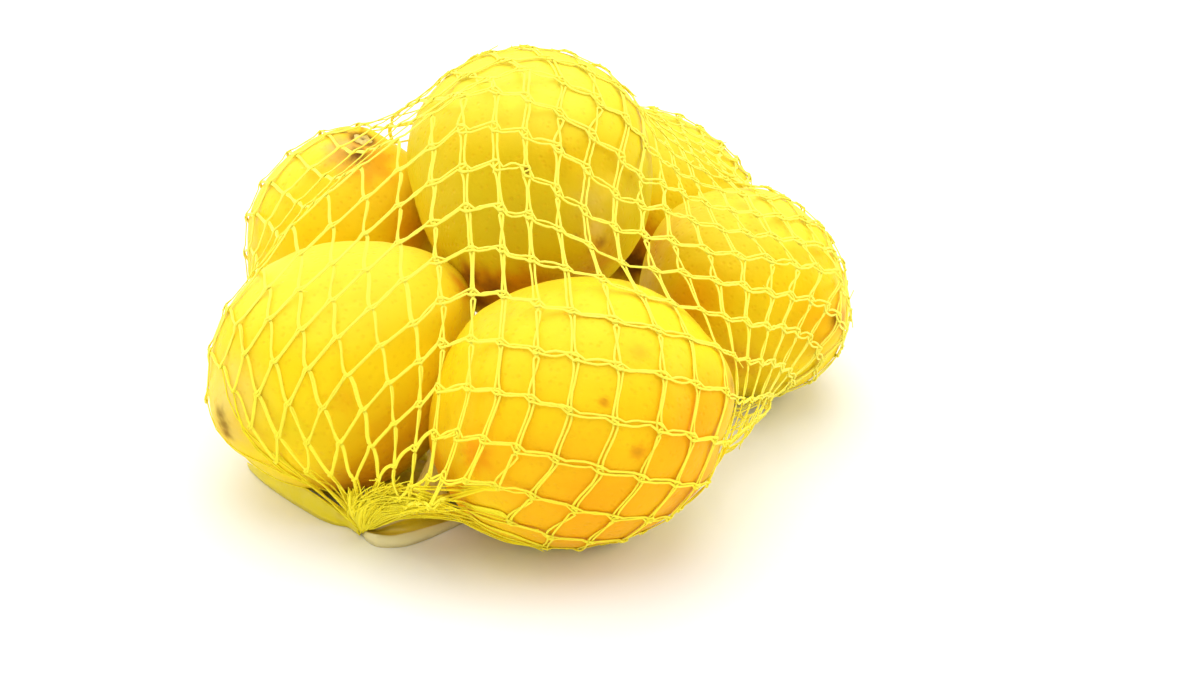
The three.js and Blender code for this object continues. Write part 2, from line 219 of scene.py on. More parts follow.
def knit(steps, seed=3, guide=0.4, bend=0.5, slack=0.03):
    """Draws the net over the lemons: yarn that only pulls, knots that slide over the peel, pushed out of the lemons and the floor. Returns knot ends p (upper) and q (lower)."""
    N, M = NET_ROUND, NET_ROWS
    rng = np.random.default_rng(seed)
    c0 = np.array([-14, 38, 27.0])
    d = GATHER_BACK - GATHER_FRONT
    d /= np.linalg.norm(d)
    e1 = np.array([0, 0, 1.0]) - d[2] * d
    e1 /= np.linalg.norm(e1)
    e2 = np.cross(d, e1)
    I = np.arange(M + 1)[:, None] * np.ones(N, int)
    J = np.ones(M + 1, int)[:, None] * np.arange(N)
    th = 2 * np.pi * (J + I / 2) / N
    ph = np.pi * I / M

    def place(th, ph):
        v = (-np.cos(ph))[..., None] * d + np.sin(ph)[..., None] * (np.cos(th)[..., None] * e1 + np.sin(th)[..., None] * e2)
        return c0 + 105 * v * np.array([1, 1, 0.8])
    dth = 0.12 * 2 * np.pi / N
    P = np.concatenate([place(th - dth, ph + 0.003).reshape(-1, 3), place(th + dth, ph - 0.003).reshape(-1, 3)])
    K = (M + 1) * N

    def idx(i, j, s):
        return s * K + i * N + (j % N)
    kk = np.arange(K).reshape(M + 1, N)
    up, dn = I < M, I > 0
    nb = -np.ones((2 * K, 3), int)
    nb[kk[up], 0] = idx(I + 1, J - 1, 1)[up]
    nb[kk[dn], 1] = idx(I - 1, J, 1)[dn]
    nb[kk.ravel(), 2] = kk.ravel() + K
    nb[(kk + K)[dn], 0] = idx(I - 1, J + 1, 0)[dn]
    nb[(kk + K)[up], 1] = idx(I + 1, J, 0)[up]
    nb[(kk + K).ravel(), 2] = kk.ravel()
    ok = nb >= 0
    nbs = np.where(ok, nb, 0)
    ra, rb, rj = BAR * rng.normal(1, 0.06, K), BAR * rng.normal(1, 0.06, K), KNOT * rng.normal(1, 0.15, K)
    rest = np.full((2 * K, 3), BAR)
    rest[kk.ravel(), 0] = ra
    rest[(kk + K)[dn], 0] = ra[idx(I - 1, J + 1, 0)[dn]]
    rest[(kk + K).ravel(), 1] = rb
    rest[kk[dn], 1] = rb[idx(I - 1, J, 0)[dn]]
    rest[kk.ravel(), 2] = rest[(kk + K).ravel(), 2] = rj
    kf = np.ones((2 * K, 3))
    kf[:, 2] = 3.0
    kf[kk.ravel(), 0] = kf[(kk + K).ravel(), 0] = 1.1
    a, b = kk[up], kk[dn]
    pr = np.concatenate([np.stack([a + K, nb[a, 0], a], 1), np.stack([b, nb[b + K, 0], b + K], 1)])
    row = np.concatenate([I.ravel(), I.ravel()])
    th0 = np.concatenate([th.ravel(), th.ravel()])
    fix1, fix2 = row == 0, row == M
    T1 = GATHER_FRONT + 1.6 * (np.cos(th0[fix1])[:, None] * e1 + np.sin(th0[fix1])[:, None] * e2)
    T2 = GATHER_BACK + 1.6 * (np.cos(th0[fix2])[:, None] * e1 + np.sin(th0[fix2])[:, None] * e2)
    S1, S2 = P[fix1].copy(), P[fix2].copy()
    HN, HD = footprint()
    V = np.zeros_like(P)
    gk = None
    ends = np.concatenate([pr[:, 2], pr[:, 0], pr[:, 1]])
    for s in range(steps):
        w = min(1, s / (0.35 * steps))
        w = w * w * (3 - 2 * w)
        P[fix1] = S1 * (1 - w) + T1 * w
        P[fix2] = S2 * (1 - w) + T2 * w
        E = P[nbs] - P[:, None, :]
        ln = np.sqrt((E * E).sum(2)) + 1e-9
        ext = np.where(ok, ln - rest, 0)
        hard = np.maximum(ln - 9.5, 0) * ok * 2.0
        hard[:, 2] = 0
        F = (E * ((np.where(ext > 0, ext, slack * ext) * kf + hard) / ln)[..., None]).sum(1)
        x0, x1, xm = P[pr[:, 0]], P[pr[:, 1]], P[pr[:, 2]]
        l0, l1 = ln[pr[:, 2], 2], ln[pr[:, 2], 0]
        wt = (l0 / (l0 + l1))[:, None]
        f = bend * (x0 * (1 - wt) + x1 * wt - xm)
        ff = np.concatenate([f, -f * (1 - wt), -f * wt])
        for c in range(3):
            F[:, c] += np.bincount(ends, ff[:, c], 2 * K)
        if guide and s >= 0.45 * steps:
            if gk is None:
                gk, gd = match(P, K, N, M)
            mid = 0.5 * (P[gk] + P[gk + K])
            rel = mid - cam_pos
            lat = (rel * gd).sum(1, keepdims=True) * gd - rel
            ll = np.linalg.norm(lat, axis=1, keepdims=True)
            g = guide * min(1, (s - 0.45 * steps) / (0.2 * steps)) * lat * np.minimum(1, 8 / np.maximum(ll, 1e-9))
            F[gk] += g
            F[gk + K] += g
        V = 0.90 * V + 0.16 * F
        sp = np.linalg.norm(V, axis=1, keepdims=True)
        V *= np.minimum(1, 1.5 / np.maximum(sp, 1e-9))
        P = P + V
        hit = push(P, 0.62)
        film_lift(P, 0.6)
        V[hit] *= 0.7
        lo = np.nonzero(P[:, 2] < 7)[0]       # what lies on the floor is drawn in under the pack
        if len(lo) and s > 0.3 * steps:
            sd = P[lo, :2] @ HN.T - HD
            km = sd.argmax(1)
            P[lo, :2] -= np.clip(sd[np.arange(len(lo)), km], 0, 0.35)[:, None] * HN[km]
    return P, dict(N=N, M=M, K=K, kk=kk, I=I, J=J, up=up, dn=dn, idx=idx, nb=nb, rest=rest)


def match(P, K, N, M):
    """Which knots of the net are the ones seen: the shift round the tube that fits best."""
    m, n, px = [], [], []
    for nn, (m0, line) in KNOTS_SEEN.items():
        for k, q in enumerate(line):
            m.append(m0 + k)
            n.append(nn)
            px.append(q)
    m, n, px = np.array(m), np.array(n), np.array(px, float)
    s2 = project(0.5 * (P[:K] + P[K:]))
    best = None
    for dj in (range(N) if FIRST_COLUMN is None else [FIRST_COLUMN]):
        i, j = np.clip(m - n + FIRST_ROW, 0, M), (n + dj) % N
        e = np.minimum(np.linalg.norm(s2[i * N + j] - px, axis=1), 120).mean()
        if best is None or e < best[0]:
            best = (e, dj, i * N + j)
    print("net match", round(best[0], 1), "column", best[1])
    return best[2], rays(px)


P_NET, NET = knit(2000)


# ---------------------------------------------------------------- mesh helpers
def make_mesh(name, verts_mm, faces, smooth=True, attrs=None):
    """faces: an (n, 4) or (n, 3) array, or a list of such arrays."""
    me = bpy.data.meshes.new(name)
    v = (np.asarray(verts_mm, float) + OFFSET) * MM
    groups = faces if isinstance(faces, list) else [faces]
    groups = [np.asarray(g, np.int32) for g in groups if len(g)]
    loops = np.concatenate([g.ravel() for g in groups])
    sizes = np.concatenate([np.full(len(g), g.shape[1], np.int32) for g in groups])
    starts = np.concatenate([[0], np.cumsum(sizes)[:-1]]).astype(np.int32)
    me.vertices.add(len(v))
    me.vertices.foreach_set("co", v.astype(np.float32).ravel())
    me.loops.add(len(loops))
    me.loops.foreach_set("vertex_index", loops.astype(np.int32))
    me.polygons.add(len(sizes))
    me.polygons.foreach_set("loop_start", starts)
    me.polygons.foreach_set("loop_total", sizes)
    me.polygons.foreach_set("use_smooth", np.full(len(sizes), smooth))
    for k, a in (attrs or {}).items():
        at = me.attributes.new(k, "FLOAT", "POINT")
        at.data.foreach_set("value", np.asarray(a, np.float32))
    me.update()
    me.validate()
    o = bpy.data.objects.new(name, me)
    SC.collection.objects.link(o)
    return o


def unit(v):
    return v / np.maximum(np.linalg.norm(v, axis=-1, keepdims=True), 1e-9)


def tubes(X, ref, r, sides=5, caps=True, flat=1.0):
    """Sweeps round sections along polylines X (n, m, 3). ref (n, m, 3) is about the surface normal; r is a number or (n, m)."""
    n, m, _ = X.shape
    T = np.empty_like(X)
    T[:, 1:-1] = X[:, 2:] - X[:, :-2]
    T[:, 0] = X[:, 1] - X[:, 0]
    T[:, -1] = X[:, -1] - X[:, -2]
    T = unit(T)
    side = unit(np.cross(T, ref))
    up = np.cross(side, T)
    r = np.broadcast_to(np.asarray(r, float), (n, m))
    a = 2 * np.pi * np.arange(sides) / sides
    ring = (np.cos(a)[None, None, :, None] * side[:, :, None] + flat * np.sin(a)[None, None, :, None] * up[:, :, None]) * r[:, :, None, None]
    V = (X[:, :, None] + ring).reshape(-1, 3)
    base = (np.arange(n)[:, None, None] * m + np.arange(m - 1)[None, :, None]) * sides
    k = np.arange(sides)[None, None, :]
    k2 = (k + 1) % sides
    Q = np.stack([base + k, base + k2, base + sides + k2, base + sides + k], -1).reshape(-1, 4)
    faces = [Q]
    if caps:
        b0 = np.arange(n)[:, None] * m * sides
        faces.append(b0 + np.arange(sides)[::-1][None])
        faces.append(b0 + (m - 1) * sides + np.arange(sides)[None])
    return V, faces


def merge(parts):
    V, F, off = [], {}, 0
    for v, faces in parts:
        for f in faces:
            F.setdefault(f.shape[1], []).append(f + off)
        V.append(v)
        off += len(v)
    return np.concatenate(V), [np.concatenate(f) for f in F.values()]


# ---------------------------------------------------------------- net: yarn
def drawn_knots():
    """True for knots that are knotted yarn, False for those drawn into the gathers' threads."""
    i, j = NET["I"].ravel(), NET["J"].ravel()
    th = (j + i / 2) % NET["N"]
    lim = np.interp(th, *np.array(GATHERED).T)
    return (i >= lim - 0.01) & (i <= NET["M"] - GATHERED_BACK)


DRAWN = drawn_knots()


def net_yarn():
    """Every bar is two fine filaments with slits between them. The long strands run straight through the knots, the cross strands meet a knot's upper end from the left and leave its lower end to the right, each bar opening in a small Y."""
    rng = np.random.default_rng(11)
    K, kk, up, I, J, idx = (NET[k] for k in ("K", "kk", "up", "I", "J", "idx"))
    P = P_NET
    p, q = P[:K], P[K:]
    # directions at each knot
    jd = unit(p - q + 1e-6)
    nb, ok = NET["nb"], NET["nb"] >= 0
    right = np.where(ok[K:, 1][:, None], P[np.maximum(nb[K:, 1], 0)] - q, 0)
    left = np.where(ok[:K, 1][:, None], P[np.maximum(nb[:K, 1], 0)] - p, 0)
    upv = np.where(ok[:K, 0][:, None], P[np.maximum(nb[:K, 0], 0)] - p, 0)
    dnv = np.where(ok[K:, 0][:, None], P[np.maximum(nb[K:, 0], 0)] - q, 0)
    a_dir = unit(upv - dnv + 2 * (p - q))
    b_dir = unit(right - left)
    nrm = unit(np.cross(b_dir, a_dir))
    ctr = np.array([-14, 45, 30.0])
    flip = ((0.5 * (p + q) - ctr) * nrm).sum(1) < 0
    # the lemon underneath gives a steadier normal where it is close
    best = np.full(K, 1e9)
    mid = 0.5 * (p + q)
    soft = nrm * np.where(flip, -1, 1)[:, None]
    for L in LEMONS.values():
        d = mid - L["c"]
        r = np.linalg.norm(d, axis=1)
        gap = r - radius(L, d / r[:, None])
        m = (gap < best) & (gap < 4)
        best[m] = gap[m]
        soft[m] = d[m] / r[m][:, None]
    nrm = soft
    on_floor = mid[:, 2] < 1.2
    nrm[on_floor] = np.array([0, 0, -1.0])
    lat = unit(np.cross(a_dir, nrm))
    lat *= np.where((lat * b_dir).sum(1) < 0, -1, 1)[:, None]   # towards the right-hand bar
    # over the left lemons the net is pulled hardest and the two filaments lie close together
    t = np.clip((-28 - mid[:, 0]) / 14, 0, 1)
    spread = 1 - 0.66 * t * t * (3 - 2 * t)
    short = 1 - 0.68 * t * t * (3 - 2 * t)                    # and its knots are drawn up small
    short = (short * (1 - 0.45 * np.clip((8 - mid[:, 1]) / 14, 0, 1) * (mid[:, 0] > -28)))[:, None]
    spread = spread * (1 - 0.15 * np.clip((8 - mid[:, 1]) / 14, 0, 1))
    p, q = mid + (p - mid) * short, mid + (q - mid) * short
    w_knot = rng.uniform(0.40, 0.78, K) * spread
    rad, flat_k = 0.285, 0.54
    parts_a, parts_b, parts_k = [], [], []
    iu, ju = I[up], J[up]
    k0 = kk[up]                                  # knot at the lower end
    ka = idx(iu + 1, ju - 1, 0)                  # knot reached by the long strand
    kb = idx(iu + 1, ju, 0)                      # knot reached by the cross strand
    drawn = DRAWN[k0] & DRAWN[ka] & DRAWN[kb]
    k0, ka, kb = k0[drawn], ka[drawn], kb[drawn]
    n = len(k0)

    def bow(start, end, rest, nref, latr):
        """How far a slack bar bends sideways, as a vector for its middle."""
        ln = np.linalg.norm(end - start, axis=1)
        sl = np.clip(rest * 1.02 - ln, 0, 4)
        amp = np.minimum(np.sqrt(0.375 * sl * np.maximum(ln, 1)), 1.6) * 0.8
        ang = rng.uniform(-0.9, 0.9, len(ln)) + np.where(rng.random(len(ln)) < 0.5, 0, np.pi)
        return amp[:, None] * (np.cos(ang)[:, None] * latr + np.abs(np.sin(ang))[:, None] * nref)

    # long strands: through the knot, then the bar to the next knot
    s, e = p[k0], q[ka]
    ln = np.linalg.norm(e - s, axis=1, keepdims=True)
    bd = (e - s) / np.maximum(ln, 1e-6)
    ts = unit(0.55 * jd[k0] + 0.45 * bd)
    te = unit(0.55 * jd[ka] + 0.45 * bd)
    u = np.array([0.14, 0.32, 0.5, 0.68, 0.86])
    h00, h10, h01, h11 = 2 * u**3 - 3 * u**2 + 1, u**3 - 2 * u**2 + u, -2 * u**3 + 3 * u**2, u**3 - u**2
    Cb = h00[None, :, None] * s[:, None] + h10[None, :, None] * (ln * ts)[:, None] * 0.8 + h01[None, :, None] * e[:, None] + h11[None, :, None] * (ln * te)[:, None] * 0.8
    la = unit(lat[k0][:, None] * (1 - u)[None, :, None] + lat[ka][:, None] * u[None, :, None])
    na = unit(nrm[k0][:, None] * (1 - u)[None, :, None] + nrm[ka][:, None] * u[None, :, None])
    bv = bow(s, e, NET["rest"][k0, 0], nrm[k0], lat[k0])
    Cb = Cb + np.sin(np.pi * u)[None, :, None] * bv[:, None]
    sa, sb = spread[k0][:, None], 0.5 * (spread[k0] + spread[kb])[:, None]
    wm = rng.uniform(0.18, 0.52, n)[:, None] * sa
    shape = np.sin(np.pi * u)[None, :] ** 0.7
    wob = rng.normal(0, 0.05, (n, 5)) * sa
    tight = (rng.random(n) < 0.3)[:, None]
    wb = w_knot[k0][:, None] * (1 - u)[None] + w_knot[ka][:, None] * u[None]
    wb = wb * (1 - shape) + np.where(tight, 0.2, wm) * shape + wob
    cross = (rng.random(n) < 0.35)[:, None]                       # the two filaments change sides half way
    wb = np.where(cross, np.cos(np.pi * u)[None] * w_knot[k0][:, None] * 1.05, wb)
    over = np.where(cross, np.sin(np.pi * u)[None] * 0.17, 0)
    for f in (-1, 1):
        body = Cb + f * wb[..., None] * la + f * over[..., None] * na
        X = np.concatenate([
            (q[k0] + f * w_knot[k0][:, None] * lat[k0])[:, None],
            (0.5 * (p[k0] + q[k0]) + f * (w_knot[k0] + 0.08)[:, None] * lat[k0])[:, None],
            (p[k0] + f * w_knot[k0][:, None] * lat[k0])[:, None],
            body,
            (q[ka] + f * w_knot[ka][:, None] * lat[ka])[:, None]], 1)
        ref = np.concatenate([np.repeat(nrm[k0][:, None], 3, 1), na, nrm[ka][:, None]], 1)
        flat = X.reshape(-1, 3)
        push(flat, 0.22, 0.24)
        X = flat.reshape(X.shape)
        parts_a.append(tubes(X, ref, rad * rng.uniform(0.9, 1.12, (n, 1)), flat=flat_k))

    # cross strands
    s, e = q[k0], p[kb]
    ln = np.linalg.norm(e - s, axis=1, keepdims=True)
    bd = (e - s) / np.maximum(ln, 1e-6)
    u = np.array([0.22, 0.38, 0.52, 0.66, 0.80])
    bv = bow(s, e, NET["rest"][K + k0, 1], nrm[k0], jd[k0])
    Cb = s[:, None] * (1 - u)[None, :, None] + e[:, None] * u[None, :, None] + np.sin(np.pi * u)[None, :, None] * bv[:, None]
    nn = unit(nrm[k0] + nrm[kb])
    lb = unit(np.cross(nn, bd))
    lb *= np.where((lb * jd[k0]).sum(1) < 0, -1, 1)[:, None]
    wm = rng.uniform(0.18, 0.48, n)[:, None] * sb
    wob = rng.normal(0, 0.05, (n, 5)) * sb
    prof = np.array([0.9, 1.0, 1.0, 1.0, 0.9])[None] * wm + wob
    prof = np.where((rng.random(n) < 0.25)[:, None], np.clip(prof * np.array([1, 1.6, 2.1, 1.6, 1])[None], 0, 0.7 * sb), prof)
    for f, (src, dst) in ((1, (p, p)), (-1, (q, q))):
        X = np.concatenate([
            (src[k0] - 0.55 * lat[k0] + 0.25 * nrm[k0])[:, None],
            (src[k0] + 0.45 * lat[k0] + 0.32 * nrm[k0])[:, None],
            Cb + f * prof[..., None] * lb[:, None],
            (dst[kb] - 0.45 * lat[kb] + 0.32 * nrm[kb])[:, None],
            (dst[kb] + 0.55 * lat[kb] + 0.25 * nrm[kb])[:, None]], 1)
        ref = np.repeat(nn[:, None], X.shape[1], 1)
        flat = X.reshape(-1, 3)
        push(flat, 0.22, 0.24)
        X = flat.reshape(X.shape)
        parts_b.append(tubes(X, ref, rad * rng.uniform(0.85, 1.1, (n, 1)), flat=flat_k))

    # knots: a third filament laced round the two long ones, and loose ends
    t = np.linspace(-0.12, 1.12, 9)
    ph = rng.uniform(0, 6.28, K)
    turns = rng.uniform(0.8, 1.3, K)
    lace = np.sin(2 * np.pi * turns[:, None] * t[None] + ph[:, None]) * (w_knot + 0.12)[:, None]
    lift = 0.30 + 0.12 * np.cos(2 * np.pi * turns[:, None] * t[None] * 2 + ph[:, None])
    X = q[:, None] * (1 - t)[None, :, None] + p[:, None] * t[None, :, None] + lace[..., None] * lat[:, None] + lift[..., None] * nrm[:, None]
    flat = X.reshape(-1, 3)
    push(flat, 0.22, 0.24)
    parts_k.append(tubes(flat.reshape(X.shape)[DRAWN], np.repeat(nrm[DRAWN][:, None], 9, 1), rad * 0.8, flat=0.8))
    who = np.nonzero((rng.random(K) < 0.12) & DRAWN)[0]
    dirs = unit(lat[who] * rng.normal(0, 1, (len(who), 1)) + jd[who] * rng.normal(0, 0.8, (len(who), 1)) + nrm[who] * rng.uniform(0.05, 0.5, (len(who), 1)))
    lng = rng.uniform(1.2, 3.4, (len(who), 1))
    curl = unit(np.cross(dirs, nrm[who])) * rng.normal(0, 0.5, (len(who), 1))
    t = np.linspace(0, 1, 5)
    X = mid[who][:, None] + t[None, :, None] * (dirs * lng)[:, None] + (t**2)[None, :, None] * curl[:, None] + 0.3 * nrm[who][:, None]
    flat = X.reshape(-1, 3)
    push(flat, 0.14, 0.2)
    parts_k.append(tubes(flat.reshape(X.shape), np.repeat(nrm[who][:, None], 5, 1), 0.12, sides=4))
    out = []
    for name, parts in (("net_long_strands", parts_a), ("net_cross_strands", parts_b), ("net_knots", parts_k)):
        V, F = merge(parts)
        # painted light: the yarn low at the front is coloured a warmer gold, for the warm light it takes from the
        # lemons
        low = np.clip((58 - V[:, 2]) / 36, 0, 1) * np.clip((8 - V[:, 1]) / 18, 0, 1)
        out.append(make_mesh(name, V, F, attrs=dict(painted_warm_bounce=0.75 * low)))
    return out


net_pieces = net_yarn()


# ---------------------------------------------------------------- lemons: meshes
def cube_sphere(n):
    """Unit directions and quads of a rounded cube grid."""
    g = np.tan(np.linspace(-np.pi / 4, np.pi / 4, n + 1))
    a, b = np.meshgrid(g, g, indexing="ij")
    one = np.ones_like(a)
    sides = [(one, a, b), (-one, b, a), (b, one, a), (a, -one, b), (a, b, one), (b, a, -one)]
    V, F, off = [], [], 0
    i = np.arange(n)[:, None] * (n + 1) + np.arange(n)[None]
    quad = np.stack([i, i + n + 1, i + n + 2, i + 1], -1).reshape(-1, 4)
    for s in sides:
        V.append(np.stack(s, -1).reshape(-1, 3))
        F.append(quad + off)
        off += (n + 1) ** 2
    V, F = np.concatenate(V), np.concatenate(F)
    key = np.round(V * 1e6).astype(np.int64)
    _, first, inv = np.unique(key, axis=0, return_index=True, return_inverse=True)
    V, F = V[first], inv.ravel()[F]
    return V / np.linalg.norm(V, axis=1, keepdims=True), F


def rotation_to(axis):
    """Columns x, y, z with z along axis."""
    z = axis / np.linalg.norm(axis)
    x = np.cross([0.3, 0.9, 0.1], z)
    x /= np.linalg.norm(x)
    return np.stack([x, np.cross(z, x), z], 1)


def seen_on(L, px):
    """The point of a lemon's skin at a place of the picture."""
    d = rays([px])[0]
    o = cam_pos - L["c"]
    t = near = -(o @ d)
    for _ in range(60):
        pnt = o + t * d
        r = np.linalg.norm(pnt)
        gap = r - radius(L, (pnt / r)[None])[0]
        if gap > 0:
            t -= max(gap * 0.5, 0.02)
        else:
            break
    if abs(t - near) > 60:                           # the line of sight misses the lemon
        t = near
    ts = np.linspace(t - 60, t + 60, 2401)
    pts = o + ts[:, None] * d
    r = np.linalg.norm(pts, axis=1)
    gap = r - radius(L, pts / r[:, None])
    inside = np.nonzero(gap <= 0)[0]
    k = inside[0] if len(inside) else np.abs(gap).argmin()
    return L["c"] + pts[k]


BUTTONS = ("back_left", "front_left", "top", "right", "back")
BUMP_SEEDS = np.random.default_rng(5)
DIRS, QUADS = cube_sphere(64)
lemon_objects = {}
for name, L in LEMONS.items():
    R = rotation_to(L["axis"])
    d = DIRS @ R.T                                   # the grid's z is the lemon's axis
    rr = radius(L, d)
    # coarse pits and swellings of the peel, a few tenths of a millimetre at most
    rng = np.random.default_rng(BUMP_SEEDS.integers(1 << 30))
    f = rng.normal(size=(60, 3))
    f = f / np.linalg.norm(f, axis=1, keepdims=True) * rng.uniform(14, 44, 60)[:, None]
    fine = np.sin(d @ f.T + rng.uniform(0, 6.28, 60)).sum(1) / math.sqrt(30)
    rr = rr + 0.045 * fine
    cos_ax = d @ L["axis"]
    phi = np.arccos(np.clip(cos_ax, -1, 1))
    if name in BUTTONS:                              # the dimple with the button of the stalk
        a_ = np.arctan2(d @ R[:, 1], d @ R[:, 0])
        rr += -1.0 * np.exp(-((np.pi - phi) / 0.095) ** 2) + 0.28 * np.exp(-((np.pi - phi - 0.21) / 0.07) ** 2) * (1 + 0.5 * np.sin(5 * a_ + 1))
    V = L["c"] + d * rr[:, None]
    # contacts: flattened against the floor and against each neighbour
    for other, M_ in LEMONS.items():
        if other == name:
            continue
        v = M_["c"] - L["c"]
        dist = np.linalg.norm(v)
        v = v / dist
        ra, rb = radius(L, v[None])[0], radius(M_, -v[None])[0]
        if ra + rb < dist + 1.0:
            continue
        cut = dist * ra / (ra + rb) - 0.05
        over = (V - L["c"]) @ v - cut
        soft = np.where(over > -0.6, np.where(over > 0.6, over, (over + 0.6) ** 2 / 2.4), 0)
        V = V - soft[:, None] * v
    over = FLOOR_SKIN - V[:, 2]
    V[:, 2] += np.where(over > -0.6, np.where(over > 0.6, over, (over + 0.6) ** 2 / 2.4), 0)
    lemon_objects[name] = (V, phi, d)

# marks on the peel, some of them painted shade in the crevices and under the lemons and one a painted highlight, each
# at a place of the picture: lemon, place, size in mm, brown, grey, warm (brown and warm also carry painted shade, grey
# one painted highlight)
PEEL_MARKS_AND_SHADE = [
    ("front_left", (220, 414), 1.7, 0.72, 0.15, 0.0),
    ("front_left", (223, 424), 1.9, 0.70, 0.15, 0.0),
    ("front_left", (226, 433), 1.6, 0.70, 0.0, 0.2),
    ("front_left", (226, 396), 8.0, 0.0, 0.50, 0.08),
    ("front_left", (232, 430), 5.0, 0.10, 0.35, 0.25),
    ("front_left", (400, 440), 13.0, 0.03, 0.0, 0.55),
    ("front_left", (345, 400), 3.0, 0.05, 0.0, 0.25),
    # painted shade: the right edge of the front left lemon darkened where it meets the upper lemon
    ("front_left", (455, 280), 2.5, 0.12, 0.0, 0.6),
    ("front_left", (464, 292), 3.0, 0.22, 0.0, 0.7),
    # painted shade: darker, warmer bottom of the front left lemon, where it is shaded
    ("front_left", (355, 488), 9.0, 0.45, 0.0, 0.8),
    # painted shade: darker, browner bottom right of the front centre lemon, where it is shaded
    ("front_centre", (688, 498), 7.0, 0.17, 0.0, 0.75),
    ("front_centre", (437, 482), 12.0, 0.0, 0.0, 0.75),
    ("front_centre", (520, 485), 20.0, 0.0, 0.0, 0.4),
    ("front_centre", (600, 535), 17.0, 0.03, 0.0, 0.58),
    ("front_centre", (695, 430), 12.0, 0.0, 0.0, 0.45),
    ("front_centre", (604, 402), 0.9, 0.30, 0.0, 0.9),
    ("front_centre", (638, 452), 1.2, 0.22, 0.0, 0.9),
    ("front_centre", (640, 352), 2.0, 0.02, 0.0, 0.40),
    ("front_centre", (476, 455), 3.0, 0.04, 0.0, 0.85),
    ("top", (527, 170), 0.75, 1.0, 0.0, 0.0),
    ("top", (562, 150), 0.6, 0.95, 0.0, 0.0),
    ("top", (596, 229), 2.2, 0.0, 0.35, 0.2),
    # painted highlight: a paler patch by the upper lemon's tip
    ("top", (592, 200), 3.5, 0.0, 0.18, 0.0),
    ("top", (577, 237), 0.9, 0.4, 0.1, 0.3),
    ("top", (601, 243), 1.6, 0.60, 0.0, 0.4),
    ("top", (592, 250), 1.4, 0.45, 0.0, 0.4),
    ("top", (602, 262), 7.0, 0.22, 0.0, 0.7),
    # painted shade: dark brown in the crevice under the upper lemon, between it and the two front lemons
    ("top", (470, 276), 3.2, 0.80, 0.0, 1.1),
    ("top", (494, 288), 4.5, 0.65, 0.0, 1.1),
    ("top", (480, 300), 4.0, 0.70, 0.0, 1.0),
    ("top", (530, 282), 6.0, 0.25, 0.0, 0.8),
    ("right", (843, 318), 3.0, 0.25, 0.10, 0.6),
    ("right", (741, 363), 5.0, 0.12, 0.05, 0.6),
    ("right", (815, 325), 12.0, 0.0, 0.0, 0.50),
    ("right", (655, 250), 7.0, 0.0, 0.0, 0.35),
    ("right", (672, 228), 7.0, 0.0, 0.0, 0.2),
    ("right", (690, 300), 8.0, 0.0, 0.0, 0.5),
    # painted shade: dark red-brown on the back lemon where it shows in the crevice between the upper, right and front
    # lemons
    ("back", (632, 262), 6.0, 1.0, 0.0, 1.3),
    ("back", (640, 235), 6.0, 0.35, 0.0, 1.0),
    ("back_left", (358, 155), 2.3, 1.0, 0.0, 0.3),
    ("back_left", (369, 143), 1.0, 0.8, 0.15, 0.0),
    ("back_left", (343, 132), 1.1, 0.6, 0.3, 0.0),
    ("back_left", (342, 150), 4.5, 0.05, 0.45, 0.9),
    ("back_left", (368, 160), 5.0, 0.12, 0.0, 1.3),
    # painted shade: warmer colour in the shaded gap between the back left and the upper lemon
    ("back_left", (416, 235), 8.0, 0.02, 0.0, 0.6),
]
WARM = dict(front_centre=0.20, front_left=0.04, top=-0.19, right=0.04, back_left=0.02, back=-0.28)
